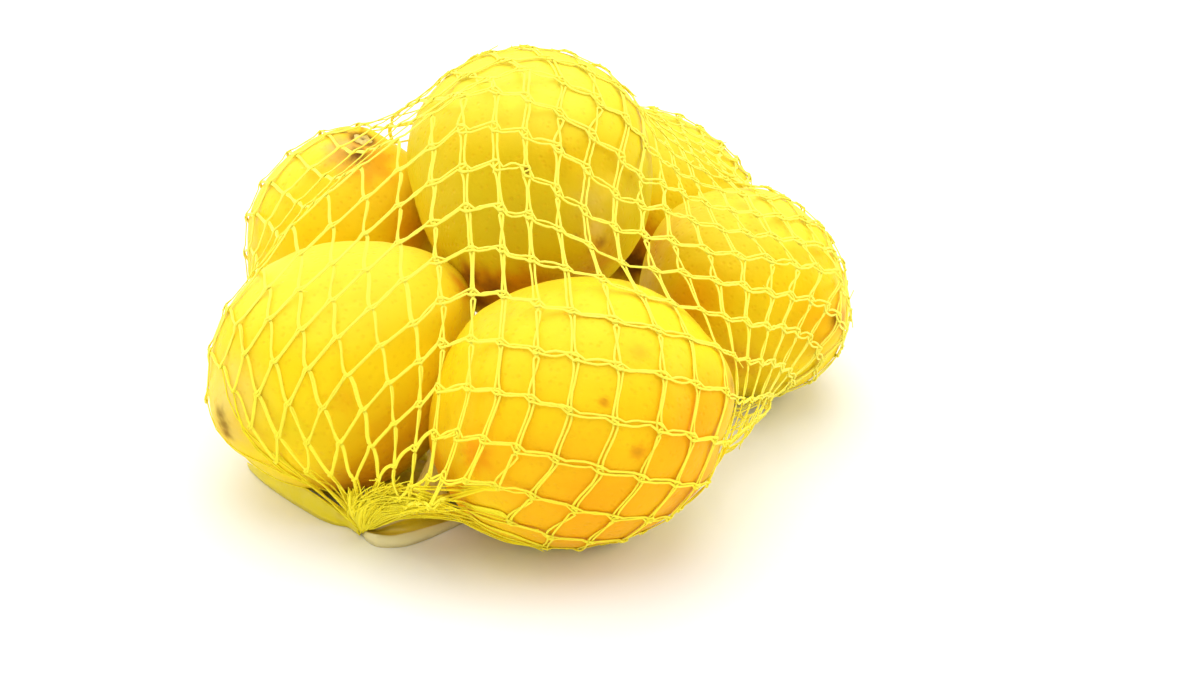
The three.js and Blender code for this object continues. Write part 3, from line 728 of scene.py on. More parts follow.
for name, (V, phi, d) in list(lemon_objects.items()):
    L = LEMONS[name]
    rng = np.random.default_rng(900 + len(name))
    f = rng.normal(size=(10, 3)) * 2.4
    blot = np.sin(d @ f.T + rng.uniform(0, 6.28, 10)).sum(1) / math.sqrt(10)
    warm_and_shade = WARM[name] + 0.12 * blot
    # the dry tip and the rim of the button
    brown_and_shade = (0.0 if name in ("front_left", "top") else 0.5) * np.exp(-(phi / 0.06) ** 2)
    if name in BUTTONS:
        brown_and_shade = brown_and_shade + 0.8 * np.exp(-((np.pi - phi - 0.075) / 0.03) ** 2)
        warm_and_shade = warm_and_shade + 0.3 * np.exp(-((np.pi - phi) / 0.25) ** 2)
    warm_and_shade = warm_and_shade + 0.2 * np.exp(-(phi / 0.22) ** 2)
    grey_and_highlight = 0 * warm_and_shade
    # painted light: a paler yellow on what faces up, where the top light falls
    painted_top_light = np.clip((d[:, 2] - 0.45) / 0.5, 0, 1)
    painted_top_light = painted_top_light * painted_top_light * (3 - 2 * painted_top_light) * (0.7 + 0.12 * blot) * dict(front_centre=0.35, back_left=0.4).get(name, 0.9) * (1 - 0.8 * np.exp(-((np.pi - phi) / 0.36) ** 2))
    # painted shade: the upper lemon is painted a darker, greener yellow low on its front, where less light falls
    painted_low_shade = 0 * warm_and_shade
    if name == "top":
        low = ((V - L["c"]) @ cam_up) / 30
        front = np.clip((V - L["c"]) @ cam_dir / 28, 0, 1)
        painted_low_shade = np.clip(0.62 - 0.75 * low, 0, 1.0) * (0.35 + 0.65 * front)
    for who, px, size, br, gr, wa in PEEL_MARKS_AND_SHADE:
        if who != name:
            continue
        at = seen_on(L, px)
        r = np.linalg.norm(V - at, axis=1)
        edge = 1 + 0.18 * np.sin(7 * np.arctan2(*(((V - at) @ cam_up), ((V - at) @ cam_right)))) * (size < 8)
        g = np.exp(-(r / (size * edge)) ** 2)
        brown_and_shade = np.maximum(brown_and_shade, br * g)
        grey_and_highlight = np.maximum(grey_and_highlight, gr * g)
        warm_and_shade = warm_and_shade + wa * g
    o = make_mesh("lemon_" + name, V, QUADS, attrs=dict(warm_and_shade=np.clip(warm_and_shade, -0.4, 1.3), brown_and_shade=np.clip(brown_and_shade, 0, 1), grey_and_highlight=np.clip(grey_and_highlight, 0, 1), painted_low_shade=painted_low_shade, painted_top_light=np.clip(painted_top_light, 0, 1)))
    me = o.data
    n0 = np.array(me.polygons[0].normal)
    if n0 @ (np.array(me.polygons[0].center) / MM - OFFSET - L["c"]) < 0:
        me.flip_normals()
    lemon_objects[name] = o


# ---------------------------------------------------------------- materials
class Nodes:
    def __init__(self, name):
        self.m = bpy.data.materials.new(name)
        self.m.use_nodes = True
        self.t = self.m.node_tree
        self.bsdf = self.t.nodes["Principled BSDF"]

    def add(self, kind, **kw):
        n = self.t.nodes.new(kind)
        for k, v in kw.items():
            setattr(n, k, v)
        return n

    def link(self, a, b):
        self.t.links.new(a, b)

    def coords(self):
        return self.add("ShaderNodeTexCoord").outputs["Object"]

    def attr(self, name):
        return self.add("ShaderNodeAttribute", attribute_name=name).outputs["Fac"]

    def noise(self, scale, detail=3.0, rough=0.5):
        n = self.add("ShaderNodeTexNoise")
        n.inputs["Scale"].default_value = scale
        n.inputs["Detail"].default_value = detail
        n.inputs["Roughness"].default_value = rough
        self.link(self.coords(), n.inputs["Vector"])
        return n.outputs["Fac"]

    def voronoi(self, scale, feature="F1", smooth=None):
        n = self.add("ShaderNodeTexVoronoi", feature=feature)
        n.inputs["Scale"].default_value = scale
        if smooth is not None:
            n.inputs["Smoothness"].default_value = smooth
        self.link(self.coords(), n.inputs["Vector"])
        return n.outputs["Distance"]

    def math(self, op, a, b=None, c=None, clamp=False):
        n = self.add("ShaderNodeMath", operation=op, use_clamp=clamp)
        for k, v in enumerate((a, b, c)):
            if v is None:
                continue
            if isinstance(v, (int, float)):
                n.inputs[k].default_value = v
            else:
                self.link(v, n.inputs[k])
        return n.outputs[0]

    def ramp(self, fac, lo, hi, a=0.0, b=1.0):
        n = self.add("ShaderNodeMapRange")
        n.interpolation_type = "SMOOTHSTEP"
        self.link(fac, n.inputs["Value"])
        for k, v in (("From Min", lo), ("From Max", hi), ("To Min", a), ("To Max", b)):
            n.inputs[k].default_value = v
        return n.outputs["Result"]

    def mix(self, fac, a, b):
        n = self.add("ShaderNodeMix", data_type="RGBA")
        for sock, v in ((n.inputs["Factor"], fac), (n.inputs["A"] if False else n.inputs[6], a), (n.inputs[7], b)):
            if isinstance(v, (int, float)):
                sock.default_value = v
            elif isinstance(v, tuple):
                sock.default_value = (*v, 1.0)
            else:
                self.link(v, sock)
        return n.outputs[2]

    def bump(self, height, distance, strength=1.0, normal=None):
        n = self.add("ShaderNodeBump")
        n.inputs["Distance"].default_value = distance
        n.inputs["Strength"].default_value = strength
        self.link(height, n.inputs["Height"])
        if normal is not None:
            self.link(normal, n.inputs["Normal"])
        return n.outputs["Normal"]


LIME = (0.80, 0.66, 0.012)
YELLOW = (0.95, 0.69, 0.009)
ORANGE = (0.93, 0.41, 0.003)
BROWN_AND_SHADE = (0.17, 0.065, 0.010)
GREY_AND_HIGHLIGHT = (0.82, 0.66, 0.24)


def peel():
    N = Nodes("lemon_peel")
    # warm hue of the peel, pushed to orange as painted shade in the crevices
    warm_and_shade = N.math("ADD", N.attr("warm_and_shade"), N.math("MULTIPLY", N.math("SUBTRACT", N.noise(90, 4, 0.6), 0.5), 0.5))
    col = N.mix(N.ramp(warm_and_shade, 0.0, 1.0), N.mix(N.ramp(warm_and_shade, -0.35, 0.05), LIME, YELLOW), ORANGE)
    # painted shade: darker yellow low on the upper lemon's front
    col = N.mix(N.attr("painted_low_shade"), col, N.mix(N.ramp(warm_and_shade, -0.2, 0.8), (0.62, 0.46, 0.006), (0.70, 0.30, 0.002)))
    # painted highlight: paler yellow where the peel faces up
    col = N.mix(N.math("MULTIPLY", N.attr("painted_top_light"), 0.78), col, (0.97, 0.90, 0.10))
    pores = N.voronoi(620)
    pit = N.ramp(pores, 0.0, 0.42, 1.0, 0.0)
    col = N.mix(N.math("MULTIPLY", pit, 0.16), col, (0.80, 0.34, 0.004))        # oil glands a little darker
    fleck = N.ramp(N.noise(420, 2, 0.6), 0.66, 0.76)
    col = N.mix(N.math("MULTIPLY", fleck, 0.10), col, (0.70, 0.30, 0.01))
    # grey-beige spots of the peel, and one painted highlight by the upper lemon's tip
    gr = N.math("MULTIPLY", N.attr("grey_and_highlight"), N.math("ADD", N.noise(350, 3, 0.6), 0.5), clamp=True)
    col = N.mix(gr, col, GREY_AND_HIGHLIGHT)
    # brown tips, scars and stalk rims, and painted shade in the crevices between lemons
    br = N.math("MULTIPLY", N.attr("brown_and_shade"), N.math("ADD", N.noise(300, 4, 0.7), 0.6), clamp=True)
    col = N.mix(br, col, BROWN_AND_SHADE)
    N.link(col, N.bsdf.inputs["Base Color"])
    rough = N.math("ADD", N.math("MULTIPLY", N.noise(160, 3), 0.16), 0.38)
    N.link(N.math("ADD", rough, N.math("MULTIPLY", N.attr("brown_and_shade"), 0.3)), N.bsdf.inputs["Roughness"])
    b1 = N.bump(N.math("ADD", N.math("MULTIPLY", pit, -1.0), N.math("MULTIPLY", N.noise(1500, 2), 0.35)), 0.00011, 0.9)
    b2 = N.bump(N.noise(170, 3, 0.5), 0.00045, 0.8, b1)
    N.link(b2, N.bsdf.inputs["Normal"])
    N.bsdf.inputs["Specular IOR Level"].default_value = 0.12
    N.bsdf.inputs["Specular Tint"].default_value = (1.0, 0.94, 0.6, 1)
    N.bsdf.inputs["Subsurface Weight"].default_value = 0.12
    N.bsdf.inputs["Subsurface Radius"].default_value = (1.0, 0.55, 0.1)
    N.bsdf.inputs["Subsurface Scale"].default_value = 0.0025
    return N.m


def yarn():
    N = Nodes("net_yarn")
    col = N.mix(N.noise(260, 2), (0.96, 0.85, 0.075), (0.98, 0.90, 0.13))
    # painted light: a warmer gold where the yarn lies low at the front and in the gathers
    col = N.mix(N.attr("painted_warm_bounce"), col, N.mix(N.noise(420, 3), (0.99, 0.82, 0.014), (1.0, 0.91, 0.050)))
    N.link(col, N.bsdf.inputs["Base Color"])
    N.link(N.math("ADD", N.math("MULTIPLY", N.noise(900, 2), 0.2), 0.30), N.bsdf.inputs["Roughness"])
    N.link(N.bump(N.noise(2600, 2), 0.00005, 0.6), N.bsdf.inputs["Normal"])
    N.bsdf.inputs["Specular IOR Level"].default_value = 0.08
    N.bsdf.inputs["Specular Tint"].default_value = (1.0, 0.92, 0.4, 1)
    return N.m


def film():
    N = Nodes("label_film")
    inner, green = N.attr("inner"), N.attr("green")
    out = N.mix(green, (0.93, 0.78, 0.34), (0.92, 0.73, 0.008))
    col = N.mix(inner, out, (0.92, 0.71, 0.020))
    streak = N.ramp(N.noise(300, 4, 0.65), 0.45, 0.75)
    col = N.mix(N.math("MULTIPLY", streak, 0.10), col, (0.95, 0.86, 0.25))
    N.link(col, N.bsdf.inputs["Base Color"])
    N.bsdf.inputs["Roughness"].default_value = 0.30
    N.bsdf.inputs["Subsurface Weight"].default_value = 0.3
    N.bsdf.inputs["Subsurface Radius"].default_value = (1.0, 0.9, 0.4)
    N.bsdf.inputs["Subsurface Scale"].default_value = 0.0015
    N.bsdf.inputs["Specular IOR Level"].default_value = 0.3
    N.bsdf.inputs["Coat Weight"].default_value = 0.12
    N.bsdf.inputs["Coat Roughness"].default_value = 0.12
    N.link(N.bump(N.noise(420, 3, 0.6), 0.00025, 0.7), N.bsdf.inputs["Normal"])
    return N.m


M_PEEL, M_YARN, M_FILM = peel(), yarn(), film()
for o in lemon_objects.values():
    o.data.materials.append(M_PEEL)
    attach(o, "root")
    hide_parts("net_bag")
for o in net_pieces:
    o.data.materials.append(M_YARN)
    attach(o, "root")
    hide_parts("net_bag")


# ---------------------------------------------------------------- film strip
def smooth_line(S, n):
    """Resamples stations along a Catmull-Rom line."""
    S = np.asarray(S, float)
    Q = np.concatenate([[2 * S[0] - S[1]], S, [2 * S[-1] - S[-2]]])
    u = np.linspace(0, len(S) - 1, n)
    i = np.minimum(u.astype(int), len(S) - 2)
    t = (u - i)[:, None]
    a, b, c, d = Q[i], Q[i + 1], Q[i + 2], Q[i + 3]
    return 0.5 * (2 * b + (c - a) * t + (2 * a - 5 * b + 4 * c - d) * t**2 + (3 * b - a - 3 * c + d) * t**3)


def at_height(px, z):
    d = rays(px)
    return cam_pos + d * ((z - cam_pos[2]) / d[:, 2])[:, None]


def at_depth(px, y):
    d = rays(px)
    return cam_pos + d * ((y - cam_pos[1]) / d[:, 1])[:, None]


def sheet(G, thick, inner, green):
    """A closed thin sheet from a grid of points (n, m, 3). inner (m) and green are written as attributes."""
    n, m, _ = G.shape
    nr = unit(np.cross(np.gradient(G, axis=0), np.gradient(G, axis=1)))
    V = np.concatenate([(G + nr * thick / 2).reshape(-1, 3), (G - nr * thick / 2).reshape(-1, 3)])
    V[:, 2] = np.maximum(V[:, 2], 0.05)
    k = n * m
    i = (np.arange(n - 1)[:, None] * m + np.arange(m - 1)[None]).ravel()
    q = np.stack([i, i + m, i + m + 1, i + 1], -1)
    F = [q, q[:, ::-1] + k]
    e = np.arange(n - 1) * m
    F.append(np.stack([e, e + k, e + m + k, e + m], -1))
    e = e + m - 1
    F.append(np.stack([e, e + m, e + m + k, e + k], -1))
    e = np.arange(m - 1)
    F.append(np.stack([e, e + 1, e + 1 + k, e + k], -1))
    e = e + (n - 1) * m
    F.append(np.stack([e, e + k, e + 1 + k, e + 1], -1))
    return V, [np.concatenate(F)], np.tile(np.tile(inner, n), 2), np.full(2 * k, green, float)


def film_strip():
    """A folded strip of plain film under the gather: to the left a sheet standing against the net, to the right a fold that opens to the front, and its end standing up between the two front lemons."""
    out = []
    n = 72
    s = np.linspace(0, 1, n)
    # left: bottom edge and top edge
    B = smooth_line([(250, 470), (262, 481), (280, 494), (300, 506.5), (320, 518), (335, 524), (348, 527), (360, 536)], n)
    T = smooth_line([(247, 463), (259, 469), (278, 476.5), (298, 485), (317, 496), (333, 506), (345, 515), (356, 524)], n)
    b = at_height(B, 0.2) + np.array([0, -0.5, 0]) * np.sin(np.pi * s)[:, None]
    wr = 0.12 * np.sin(31 * s) + 0.08 * np.sin(57 * s + 1)
    t = at_depth(T, b[:, 1] + 0.9 + wr)
    y = np.array([0, 1.0, 0])
    z = np.array([0, 0, 1.0])
    bul = (np.sin(np.pi * s) ** 0.5)[:, None]
    rows = [b + 1.3 * y + 0 * z, b + 0.1 * y, b * 0.7 + t * 0.3 - 0.55 * bul * y, b * 0.38 + t * 0.62 - (0.5 + 0.3 * wr[:, None]) * bul * y, t * 0.9 + b * 0.1 - 0.1 * bul * y, t, t + 0.45 * y - 0.1 * z, t + 0.8 * y - 0.7 * z, t + 1.0 * y - 1.8 * z]
    rows[-1][:, 2] = np.maximum(rows[-1][:, 2], 0.2)
    out.append(sheet(np.stack(rows, 1), 0.12, np.array([0, 0, 0, 0, 0, 0.1, 0.3, 0.6, 0.8]), 1.0))
    # right: lower lip, inside, upper lip
    Lb = smooth_line([(361, 533), (367, 541), (377, 546.5), (392, 547.5), (408, 545.5), (430, 538), (450, 529), (467, 521)], n)
    Lt = smooth_line([(362, 529), (368, 533), (378, 535.5), (392, 536.5), (408, 533.5), (430, 527.5), (450, 521.5), (467, 517.5)], n)
    Ut = smooth_line([(362, 527.5), (369, 528.5), (379, 528.5), (391, 523.5), (405, 518.5), (425, 514.5), (448, 513), (467, 516.5)], n)
    b = at_height(Lb, 0.15)
    prof = np.clip(np.sin(np.pi * np.clip(s * 0.96 + 0.02, 0, 1)), 0, 1) ** 0.7
    lt = at_depth(Lt, b[:, 1] + 0.5)
    ut = at_depth(Ut, b[:, 1] + 1.0 + 5.2 * prof)
    D = (1.0 + 5.2 * prof)[:, None]
    pr = prof[:, None]
    wr = (0.10 * np.sin(23 * s) + 0.08 * np.sin(41 * s + 2))[:, None]
    w2 = (0.25 * np.sin(17 * s + 1) * prof)[:, None]
    low = lambda p, h: np.concatenate([p[:, :2], h], 1)
    rows = [
        low(b + 0.8 * y, 0.15 + 0 * s[:, None]), b,
        0.5 * (b + lt) - (0.45 + wr) * pr * y, lt - 0.1 * pr * y, lt + 0.22 * y + 0.12 * pr * z, lt + 0.5 * y - 0.1 * pr * z,
        low(b + (0.5 + 0.25 * D) * y, 0.45 * lt[:, 2:3] + 0 * s[:, None]),
        low(b + (0.4 + 0.5 * D) * y, 0.28 + 0.35 * pr + 0.6 * w2),
        low(b + (0.3 + 0.8 * D) * y, 0.3 + 0.12 * ut[:, 2:3] + 0.4 * w2),
        low(ut + 0.5 * pr * y, 0.38 * ut[:, 2:3]),
        low(ut + 0.55 * pr * y, 0.72 * ut[:, 2:3]),
        ut + (0.15 * y - 0.35 * z) * pr, ut - 0.12 * pr * y, ut + (0.10 * y + 1.0 * z) * pr, ut + (0.5 * y + 1.25 * z) * pr, ut + (1.6 * y + 0.5 * z) * pr, ut + (3.0 * y - 0.9 * z) * pr]
    inner = np.array([0, 0, 0, 0, 0, 0.35, 0.8, 0.9, 0.85, 1, 1, 0.55, 0, 0, 0, 0.1, 0.3])
    G = np.stack(rows, 1)
    G[..., 2] = np.maximum(G[..., 2], 0.14)
    out.append(sheet(G, 0.12, inner, 0.0))
    # the end that stands up between the front lemons
    Lf = smooth_line([(404, 505), (414, 488), (421, 474), (427, 460), (431, 449), (434, 439)], 24)
    Rt = smooth_line([(446, 505), (447, 490), (446, 474), (443.5, 460), (440, 449), (436, 439)], 24)
    yy = np.interp(np.linspace(0, 1, 24), [0, 0.2, 1], [-14.5, -11.0, -4.0])
    l, r = at_depth(Lf, yy), at_depth(Rt, yy + 0.8)
    v = np.linspace(0, 1, 9)[None, :, None]
    G = l[:, None] * (1 - v) + r[:, None] * v + (0.7 * np.sin(np.pi * v) * -1) * y + (0.25 * np.sin(9 * v + np.linspace(0, 5, 24)[:, None, None])) * y
    out.append(sheet(G, 0.12, np.full(9, 0.45), 0.15))
    # and a stretch laid on the floor between the front lemons, inside the net: a sheet put there to darken the shaded
    # gap, standing for shade
    u, v = np.linspace(0, 1, 20)[:, None, None], np.linspace(-1, 1, 12)[None, :, None]
    a, b_ = np.array([-50.0, -13.0, 0.45]), np.array([-27.0, 20.0, 0.45])
    G = a + (b_ - a) * u + v * (6.5 + 8.0 * u) * np.array([0.93, -0.37, 0]) + np.array([0, 0, 1.0]) * (0.35 + 0.35 * np.sin(7 * u + 5 * v) * (1 - u * 0.5) + 0.6 * np.abs(v) ** 3)
    out.append(sheet(G, 0.12, np.full(12, 0.9), 0.0))
    # a second stretch laid on the floor under the front left lemon, put there to darken the shade under it
    u, v = np.linspace(0, 1, 16)[:, None, None], np.linspace(0, 1, 10)[None, :, None]
    a, b_ = at_height([(300, 484), (352, 506)], 0.5), at_height([(318, 452), (372, 470)], 0.5)
    G2 = (a[0] + (a[1] - a[0]) * u) * (1 - v) + (b_[0] + (b_[1] - b_[0]) * u) * v + np.array([0, 0, 0.25]) * (1 + np.sin(6 * u + 4 * v))
    out.append(sheet(G2, 0.12, np.full(10, 1.0), 0.0))
    print("film heights", b[:, 2].max().round(1), ut[:, 2].max().round(1), t[:, 2].max().round(1), "tail z", G[0, :, 2].min().round(1), G[-1, :, 2].max().round(1))
    return out


parts, inn, gre = [], [], []
for V, F, i_, g_ in film_strip():
    parts.append((V, F))
    inn.append(i_)
    gre.append(g_)
V, F = merge(parts)
film_o = make_mesh("label_film", V, F, attrs=dict(inner=np.concatenate(inn), green=np.concatenate(gre)))
film_o.data.materials.append(M_FILM)
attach(film_o, "root")
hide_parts("label_strip")


# ---------------------------------------------------------------- gathers: the yarn of the last rows, pulled together into loose threads
def bezier(a, b, c, t):
    return a * (1 - t) ** 2 + 2 * b * t * (1 - t) + c * t * t


def threads(start, mid, end, rng, r, wave=0.7, flat=0.7, over=0.5):
    """Loose threads along curves from start over mid to end."""
    m = len(start)
    t = np.linspace(0, 1, 13)[None, :, None]
    X = bezier(start[:, None], mid[:, None], end[:, None], t)
    side = unit(np.cross(end - start, [0.05, 0.1, 1.0]))
    up = unit(np.cross(side, end - start))
    up *= np.where(up[:, 2:3] < 0, -1, 1)
    for vec, amp in ((side, wave), (up, wave * 0.5)):
        X += (np.sin(np.pi * t) * rng.normal(0, amp, (m, 1, 1)) + np.sin(2 * np.pi * t + rng.uniform(0, 6.28, (m, 1, 1))) * np.sin(np.pi * t) * rng.normal(0, amp * 0.35, (m, 1, 1))) * vec[:, None]
    X += np.sin(np.pi * t) * np.abs(rng.normal(over, over, (m, 1, 1))) * up[:, None]
    flat_ = X.reshape(-1, 3)
    for _ in range(14):
        film_lift(flat_, 0.25)
    push(flat_, 0.22, 0.2)
    return tubes(flat_.reshape(X.shape), np.broadcast_to(up[:, None], X.shape), r, sides=5, flat=flat)


def front_gather():
    rng = np.random.default_rng(43)
    K, N = NET["K"], NET["N"]
    p, q = P_NET[:K], P_NET[K:]
    ctr = 0.5 * (p + q)
    tips = at_height([(365, 532), (363, 533), (367, 533), (364, 528), (367, 529), (362, 530)], 0.8) + np.array([0, 0, 1.0]) * np.linspace(0, 1.4, 6)[:, None]
    pick = lambda n: tips[rng.integers(0, len(tips), n)] + rng.normal(0, 0.25, (n, 3))
    # the fan that is seen: its outer end and its bend, as places of the picture with a depth, from left to right
    fan_v = np.array([0, 0.15, 0.35, 0.5, 0.62, 0.75, 0.9, 1.0])
    outer = at_depth([(347, 489), (358, 490), (379, 486), (397, 479), (414, 485), (432, 495), (447, 503), (454, 510)], np.array([-24.5, -25, -27, -31, -33, -36, -38.5, -39]))
    bend = at_depth([(350, 514), (356, 512), (367, 508), (377, 504), (384, 503), (390, 503), (397, 504), (400, 506)], np.array([-22, -22.5, -23.5, -25.5, -27, -28.5, -29.5, -30]))
    at = lambda tab, v: np.stack([np.interp(v, fan_v, tab[:, c]) for c in range(3)], 1)
    parts = []
    w = np.linspace(0, 1, 13)[None]
    back = np.array([0.0, 1.0, -0.6])
    for m_, shift, wide in ((70, 1.0, (0.6, 1.1)), (90, 0.0, (0.35, 0.85))):
        v = np.sort(rng.uniform(0, 0.96, m_))
        s0 = pick(len(v))
        o = s0 + (at(outer, v) - s0) * rng.uniform(0.66, 0.98, (len(v), 1)) + rng.normal(0, 0.4, (len(v), 3)) + back * (shift + 0.5)
        b = at(bend, v + rng.normal(0, 0.08, len(v))) + rng.normal(0, 0.3, (len(v), 3)) + back * shift
        parts.append(threads(s0, b, o, rng, rng.uniform(*wide, (len(v), 1)) * (0.12 + 0.88 * np.sin(np.pi * w ** 0.75) ** 0.8), 0.4, 0.25, 0.1))
    v = rng.uniform(-0.03, 0.97, 260)
    s0 = pick(len(v))
    o = s0 + (at(outer, v) - s0) * rng.uniform(0.62, 1.02, (len(v), 1)) + rng.normal(0, 0.35, (len(v), 3)) + 0.9 * back
    b = at(bend, v + rng.normal(0, 0.17, len(v))) + rng.normal(0, 0.4, (len(v), 3))
    parts.append(threads(s0, b, o, rng, rng.uniform(0.10, 0.22, (len(v), 1)) * (1 - 0.6 * w ** 4), 0.6, 0.7, 0.45))
    # shorter ones that lie across them
    v = rng.uniform(0, 0.9, 110)
    t_ = rng.uniform(0.2, 0.8, (len(v), 1))
    a_ = bezier(tips[:1], at(bend, v), at(outer, v), t_)
    v2 = np.clip(v + rng.uniform(0.1, 0.45, len(v)), 0, 1.02)
    c_ = bezier(tips[:1], at(bend, v2), at(outer, v2), np.clip(t_ + rng.uniform(0.05, 0.4, t_.shape), 0, 1.05))
    lift_ = np.array([0, -0.45, 0.35])
    parts.append(threads(a_ + lift_, 0.5 * (a_ + c_) + 1.6 * lift_ + rng.normal(0, 0.5, a_.shape), c_ + lift_, rng, rng.uniform(0.09, 0.17, (len(v), 1)), 0.5, 0.8, 0.3))
    # threads to every knot where the mesh begins
    i, j = NET["I"].ravel(), NET["J"].ravel()
    below = np.zeros(K, bool)
    for k in np.nonzero(DRAWN & (i > 0) & (i < 14))[0]:
        below[k] = not (DRAWN[(i[k] - 1) * N + (j[k] + 1) % N] and DRAWN[(i[k] - 1) * N + j[k]])
    ks = np.nonzero(below)[0]
    th = (j[ks] + i[ks] / 2 + 5.8) % N - 5.8
    px = project(ctr[ks])
    front = (th > -6) & (th < 3.45)
    right_ = ~front & (px[:, 0] > 430) & (ctr[ks][:, 1] < 0)
    left = front & (px[:, 0] < 300)
    front = front & ~left
    rest = ~front & ~right_ & ~left
    for sel, each, r in ((front, 6, (0.13, 0.24)), (left, 2, (0.16, 0.24)), (right_, 3, (0.14, 0.22)), (rest, 1, (0.14, 0.22))):
        kk_ = np.repeat(ks[sel], each)
        if len(kk_) == 0:
            continue
        e = ctr[kk_] + rng.normal(0, 0.28, (len(kk_), 3))
        s0 = pick(len(kk_))
        m_ = 0.5 * (s0 + e)
        if sel is right_:
            m_ = at_depth([(430, 491)] * len(kk_), np.full(len(kk_), -28.0)) + rng.normal(0, 0.5, m_.shape)
        if sel is left:                              # behind the standing film
            m_ = m_ * np.array([1, 1, 0.4]) + np.array([1.5, 5.0, 0])
        parts.append(threads(s0, m_, e, rng, rng.uniform(*r, (len(kk_), 1)), 0.4))
    # over the lower left of the front lemon, where the last cross strands run in to the gather
    fc = LEMONS["front_centre"]
    for line, m_ in (([(420, 492), (440, 498), (468, 504), (500, 511), (512, 519)], 5), ([(418, 497), (440, 505), (475, 518), (512, 532), (546, 545)], 5),
                     ([(415, 489), (436, 489), (462, 489), (482, 488), (497, 489)], 4), ([(420, 500), (444, 511), (474, 526), (508, 540), (548, 548)], 4),
                     ([(418, 494), (440, 501), (470, 511), (506, 521), (540, 529)], 3)):
        c = np.array([seen_on(fc, g) if g[0] > 442 else at_depth([g], -36.5 + 0.1 * (g[0] - 420))[0] for g in line])
        t_ = np.linspace(0, len(line) - 1, 19)
        c = np.stack([np.interp(t_, np.arange(len(line)), c[:, k]) for k in range(3)], 1)
        c[1:-1] = 0.25 * c[:-2] + 0.5 * c[1:-1] + 0.25 * c[2:]
        X = np.repeat(c[None], m_, 0) + rng.normal(0, 0.22, (m_, 1, 3)) + np.sin(np.linspace(0, 9, 19)[None, :, None] + rng.uniform(0, 6.28, (m_, 1, 1))) * rng.normal(0, 0.25, (m_, 1, 3))
        flat_ = X.reshape(-1, 3)
        push(flat_, 0.3, 0.24)
        d_ = unit(flat_ - fc["c"])
        parts.append(tubes(flat_.reshape(X.shape), d_.reshape(X.shape), rng.uniform(0.17, 0.27, (m_, 1)), sides=5, flat=0.6))
    return parts


def back_gather():
    rng = np.random.default_rng(42)
    K = NET["K"]
    ctr = 0.5 * (P_NET[:K] + P_NET[K:])
    ks = np.repeat(NET["kk"][NET["M"] - GATHERED_BACK], 4)
    s0 = GATHER_BACK + rng.normal(0, 0.6, (len(ks), 3))
    e = ctr[ks] + rng.normal(0, 0.28, (len(ks), 3))
    more = rng.integers(0, len(ks), 150)
    s1 = GATHER_BACK + rng.normal(0, 0.8, (150, 3))
    e1 = s1 + (e[more] - s1) * rng.uniform(0.6, 1.05, (150, 1)) + rng.normal(0, 0.5, (150, 3))
    return [threads(s0, 0.5 * (s0 + e), e, rng, rng.uniform(0.14, 0.25, (len(ks), 1)), 0.5), threads(s1, 0.5 * (s1 + e1), e1, rng, rng.uniform(0.2, 0.6, (150, 1)), 0.5, 0.35)]


parts = front_gather() + back_gather()
V, F = merge(parts)
# painted light: all the gathered threads take the warmer gold of the low yarn
gather_o = make_mesh("net_gathers", V, F, attrs=dict(painted_warm_bounce=np.ones(len(V))))
gather_o.data.materials.append(M_YARN)
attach(gather_o, "root")
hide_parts("net_bag")


# ---------------------------------------------------------------- buttons: what is left of the stalks
def buttons():
    rng = np.random.default_rng(77)
    Vs, Fs, at = [], [], dict(warm_and_shade=[], brown_and_shade=[], grey_and_highlight=[], painted_low_shade=[], painted_top_light=[])
    nr, na, off = 12, 60, 0
    for name in BUTTONS:
        L = LEMONS[name]
        R = rotation_to(-L["axis"])
        rho = np.linspace(0, 1, nr)[:, None] ** 0.85 * np.ones((1, na))
        a = np.linspace(0, 2 * np.pi, na, endpoint=False)[None] * np.ones((nr, 1))
        ph = rng.uniform(0, 6.28, 3)
        lobes = 1 + 0.20 * np.cos(5 * a + ph[0]) + 0.10 * np.cos(3 * a + ph[1]) + 0.05 * np.cos(11 * a + ph[2])
        rr = 2.7 * rho * (1 + (lobes - 1) * rho)
        h = -0.95 + 0.62 * (1 - rho ** 5) - 0.42 * np.exp(-(rho / 0.2) ** 2) + 0.10 * np.cos(5 * a + ph[0]) * rho + 0.06 * np.sin(13 * a + 9 * rho) * rho
        d = unit(R[:, 2] * L["a"] + rr[..., None] * (np.cos(a)[..., None] * R[:, 0] + np.sin(a)[..., None] * R[:, 1]))
        base = L["c"] + d * radius(L, d.reshape(-1, 3)).reshape(nr, na)[..., None]
        V = (base + h[..., None] * R[:, 2]).reshape(-1, 3)
        i = (np.arange(nr - 1)[:, None] * na + np.arange(na)[None])
        j = (np.arange(nr - 1)[:, None] * na + (np.arange(na)[None] + 1) % na)
        Fs.append(np.stack([i, i + na, j + na, j], -1).reshape(-1, 4)[na:] + off)
        Fs.append(np.stack([0 * i[0] + 0, i[0] + na, j[0] + na], -1) + off)
        Vs.append(V)
        off += len(V)
        at["brown_and_shade"].append(np.clip(0.75 * np.exp(-(rho / 0.22) ** 2) + 0.85 * np.exp(-((rho - 1.0) / 0.10) ** 2) + 0.12 * np.sin(7 * a + 5 * rho), 0, 1).ravel())
        at["grey_and_highlight"].append(np.clip(1.0 - 0.2 * rho, 0, 1).ravel())
        for k in ("warm_and_shade", "painted_low_shade", "painted_top_light"):
            at[k].append(np.zeros(nr * na))
    V = np.concatenate(Vs)
    quads = np.concatenate([f for f in Fs if f.shape[1] == 4])
    tris = np.concatenate([f for f in Fs if f.shape[1] == 3])
    o = make_mesh("stem_buttons", V, [quads, tris], attrs={k: np.concatenate(v) for k, v in at.items()})
    o.data.materials.append(M_PEEL)
    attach(o, "root")
    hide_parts("net_bag")
    return o


buttons()


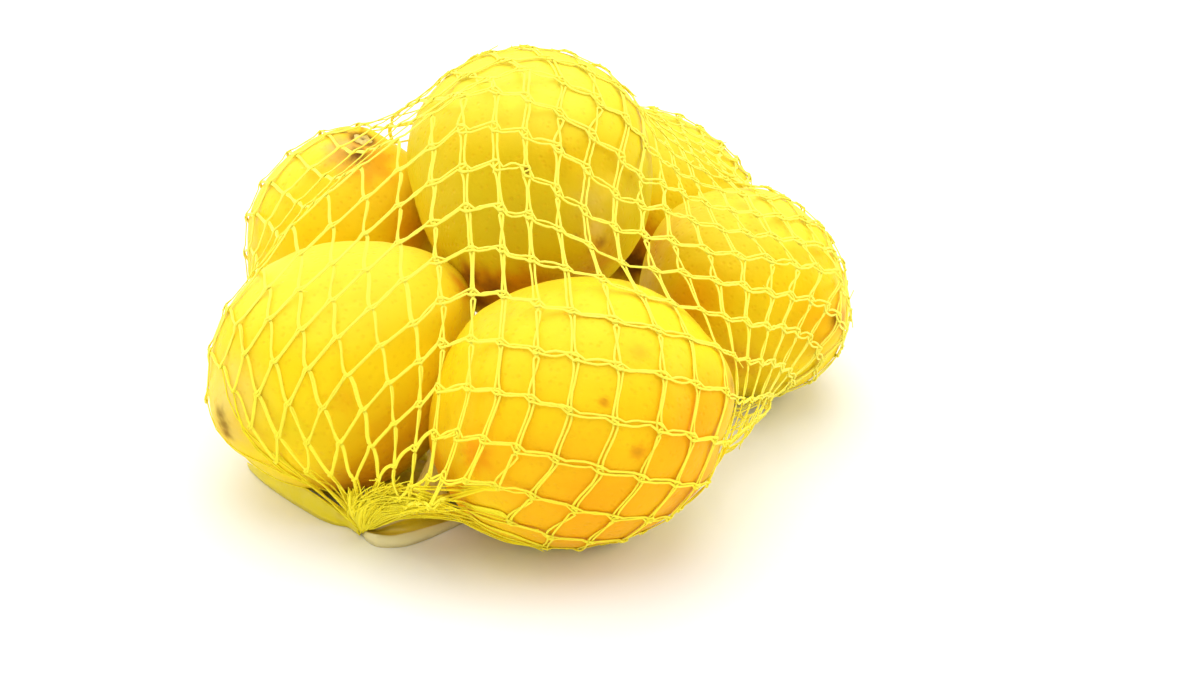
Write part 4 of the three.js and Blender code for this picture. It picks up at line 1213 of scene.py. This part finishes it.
# ---------------------------------------------------------------- floor and light
def floor():
    me = bpy.data.meshes.new("floor")
    s = 4.0
    me.from_pydata([(-s, -s, 0), (s, -s, 0), (s, s, 0), (-s, s, 0)], [], [(0, 1, 2, 3)])
    o = bpy.data.objects.new("floor", me)
    SC.collection.objects.link(o)
    N = Nodes("floor")
    N.bsdf.inputs["Base Color"].default_value = (0.92, 0.92, 0.92, 1)
    N.bsdf.inputs["Roughness"].default_value = 0.65
    N.bsdf.inputs["Specular IOR Level"].default_value = 0.2
    me.materials.append(N.m)


floor()
world = bpy.data.worlds.new("world")
SC.world = world
world.use_nodes = True
bg = world.node_tree.nodes["Background"]
bg.inputs["Color"].default_value = (1.0, 0.99, 0.97, 1)
bg.inputs["Strength"].default_value = 0.42


def area(name, loc, target, size, power, colour=(1, 1, 1)):
    ld = bpy.data.lights.new(name, "AREA")
    ld.shape = "DISK"
    ld.size = size
    ld.energy = power
    ld.color = colour
    o = bpy.data.objects.new(name, ld)
    SC.collection.objects.link(o)
    o.location = loc
    v = np.array(target) - np.array(loc)
    import mathutils
    o.rotation_euler = mathutils.Vector(v).to_track_quat("-Z", "Y").to_euler()
    return o


area("top", (0, 0.05, 1.0), (0, 0, 0.04), 1.2, 6.8, (1, 0.99, 0.97))
area("front_top", (0, -0.6, 1.0), (0, 0, 0.04), 1.0, 1.3)
area("front_low", (-0.25, -1.0, 0.20), (-0.01, 0, 0.02), 0.8, 2.0)
area("left", (-1.1, 0.1, 0.5), (0, 0, 0.04), 1.0, 3.5)
area("right", (1.1, 0.2, 0.5), (0, 0, 0.04), 1.0, 6.3)
area("front_right", (0.8, -0.8, 0.45), (0, 0, 0.04), 0.8, 0.8)
area("back_left", (-0.8, 0.8, 0.6), (0, 0, 0.04), 1.0, 4.4)
area("back_top", (0, 0.75, 0.85), (0, 0, 0.04), 1.0, 3.0)

SC.view_settings.view_transform = "Standard"
SC.view_settings.look = "None"
SC.view_settings.exposure = 0.0
SC.view_settings.gamma = 1.0
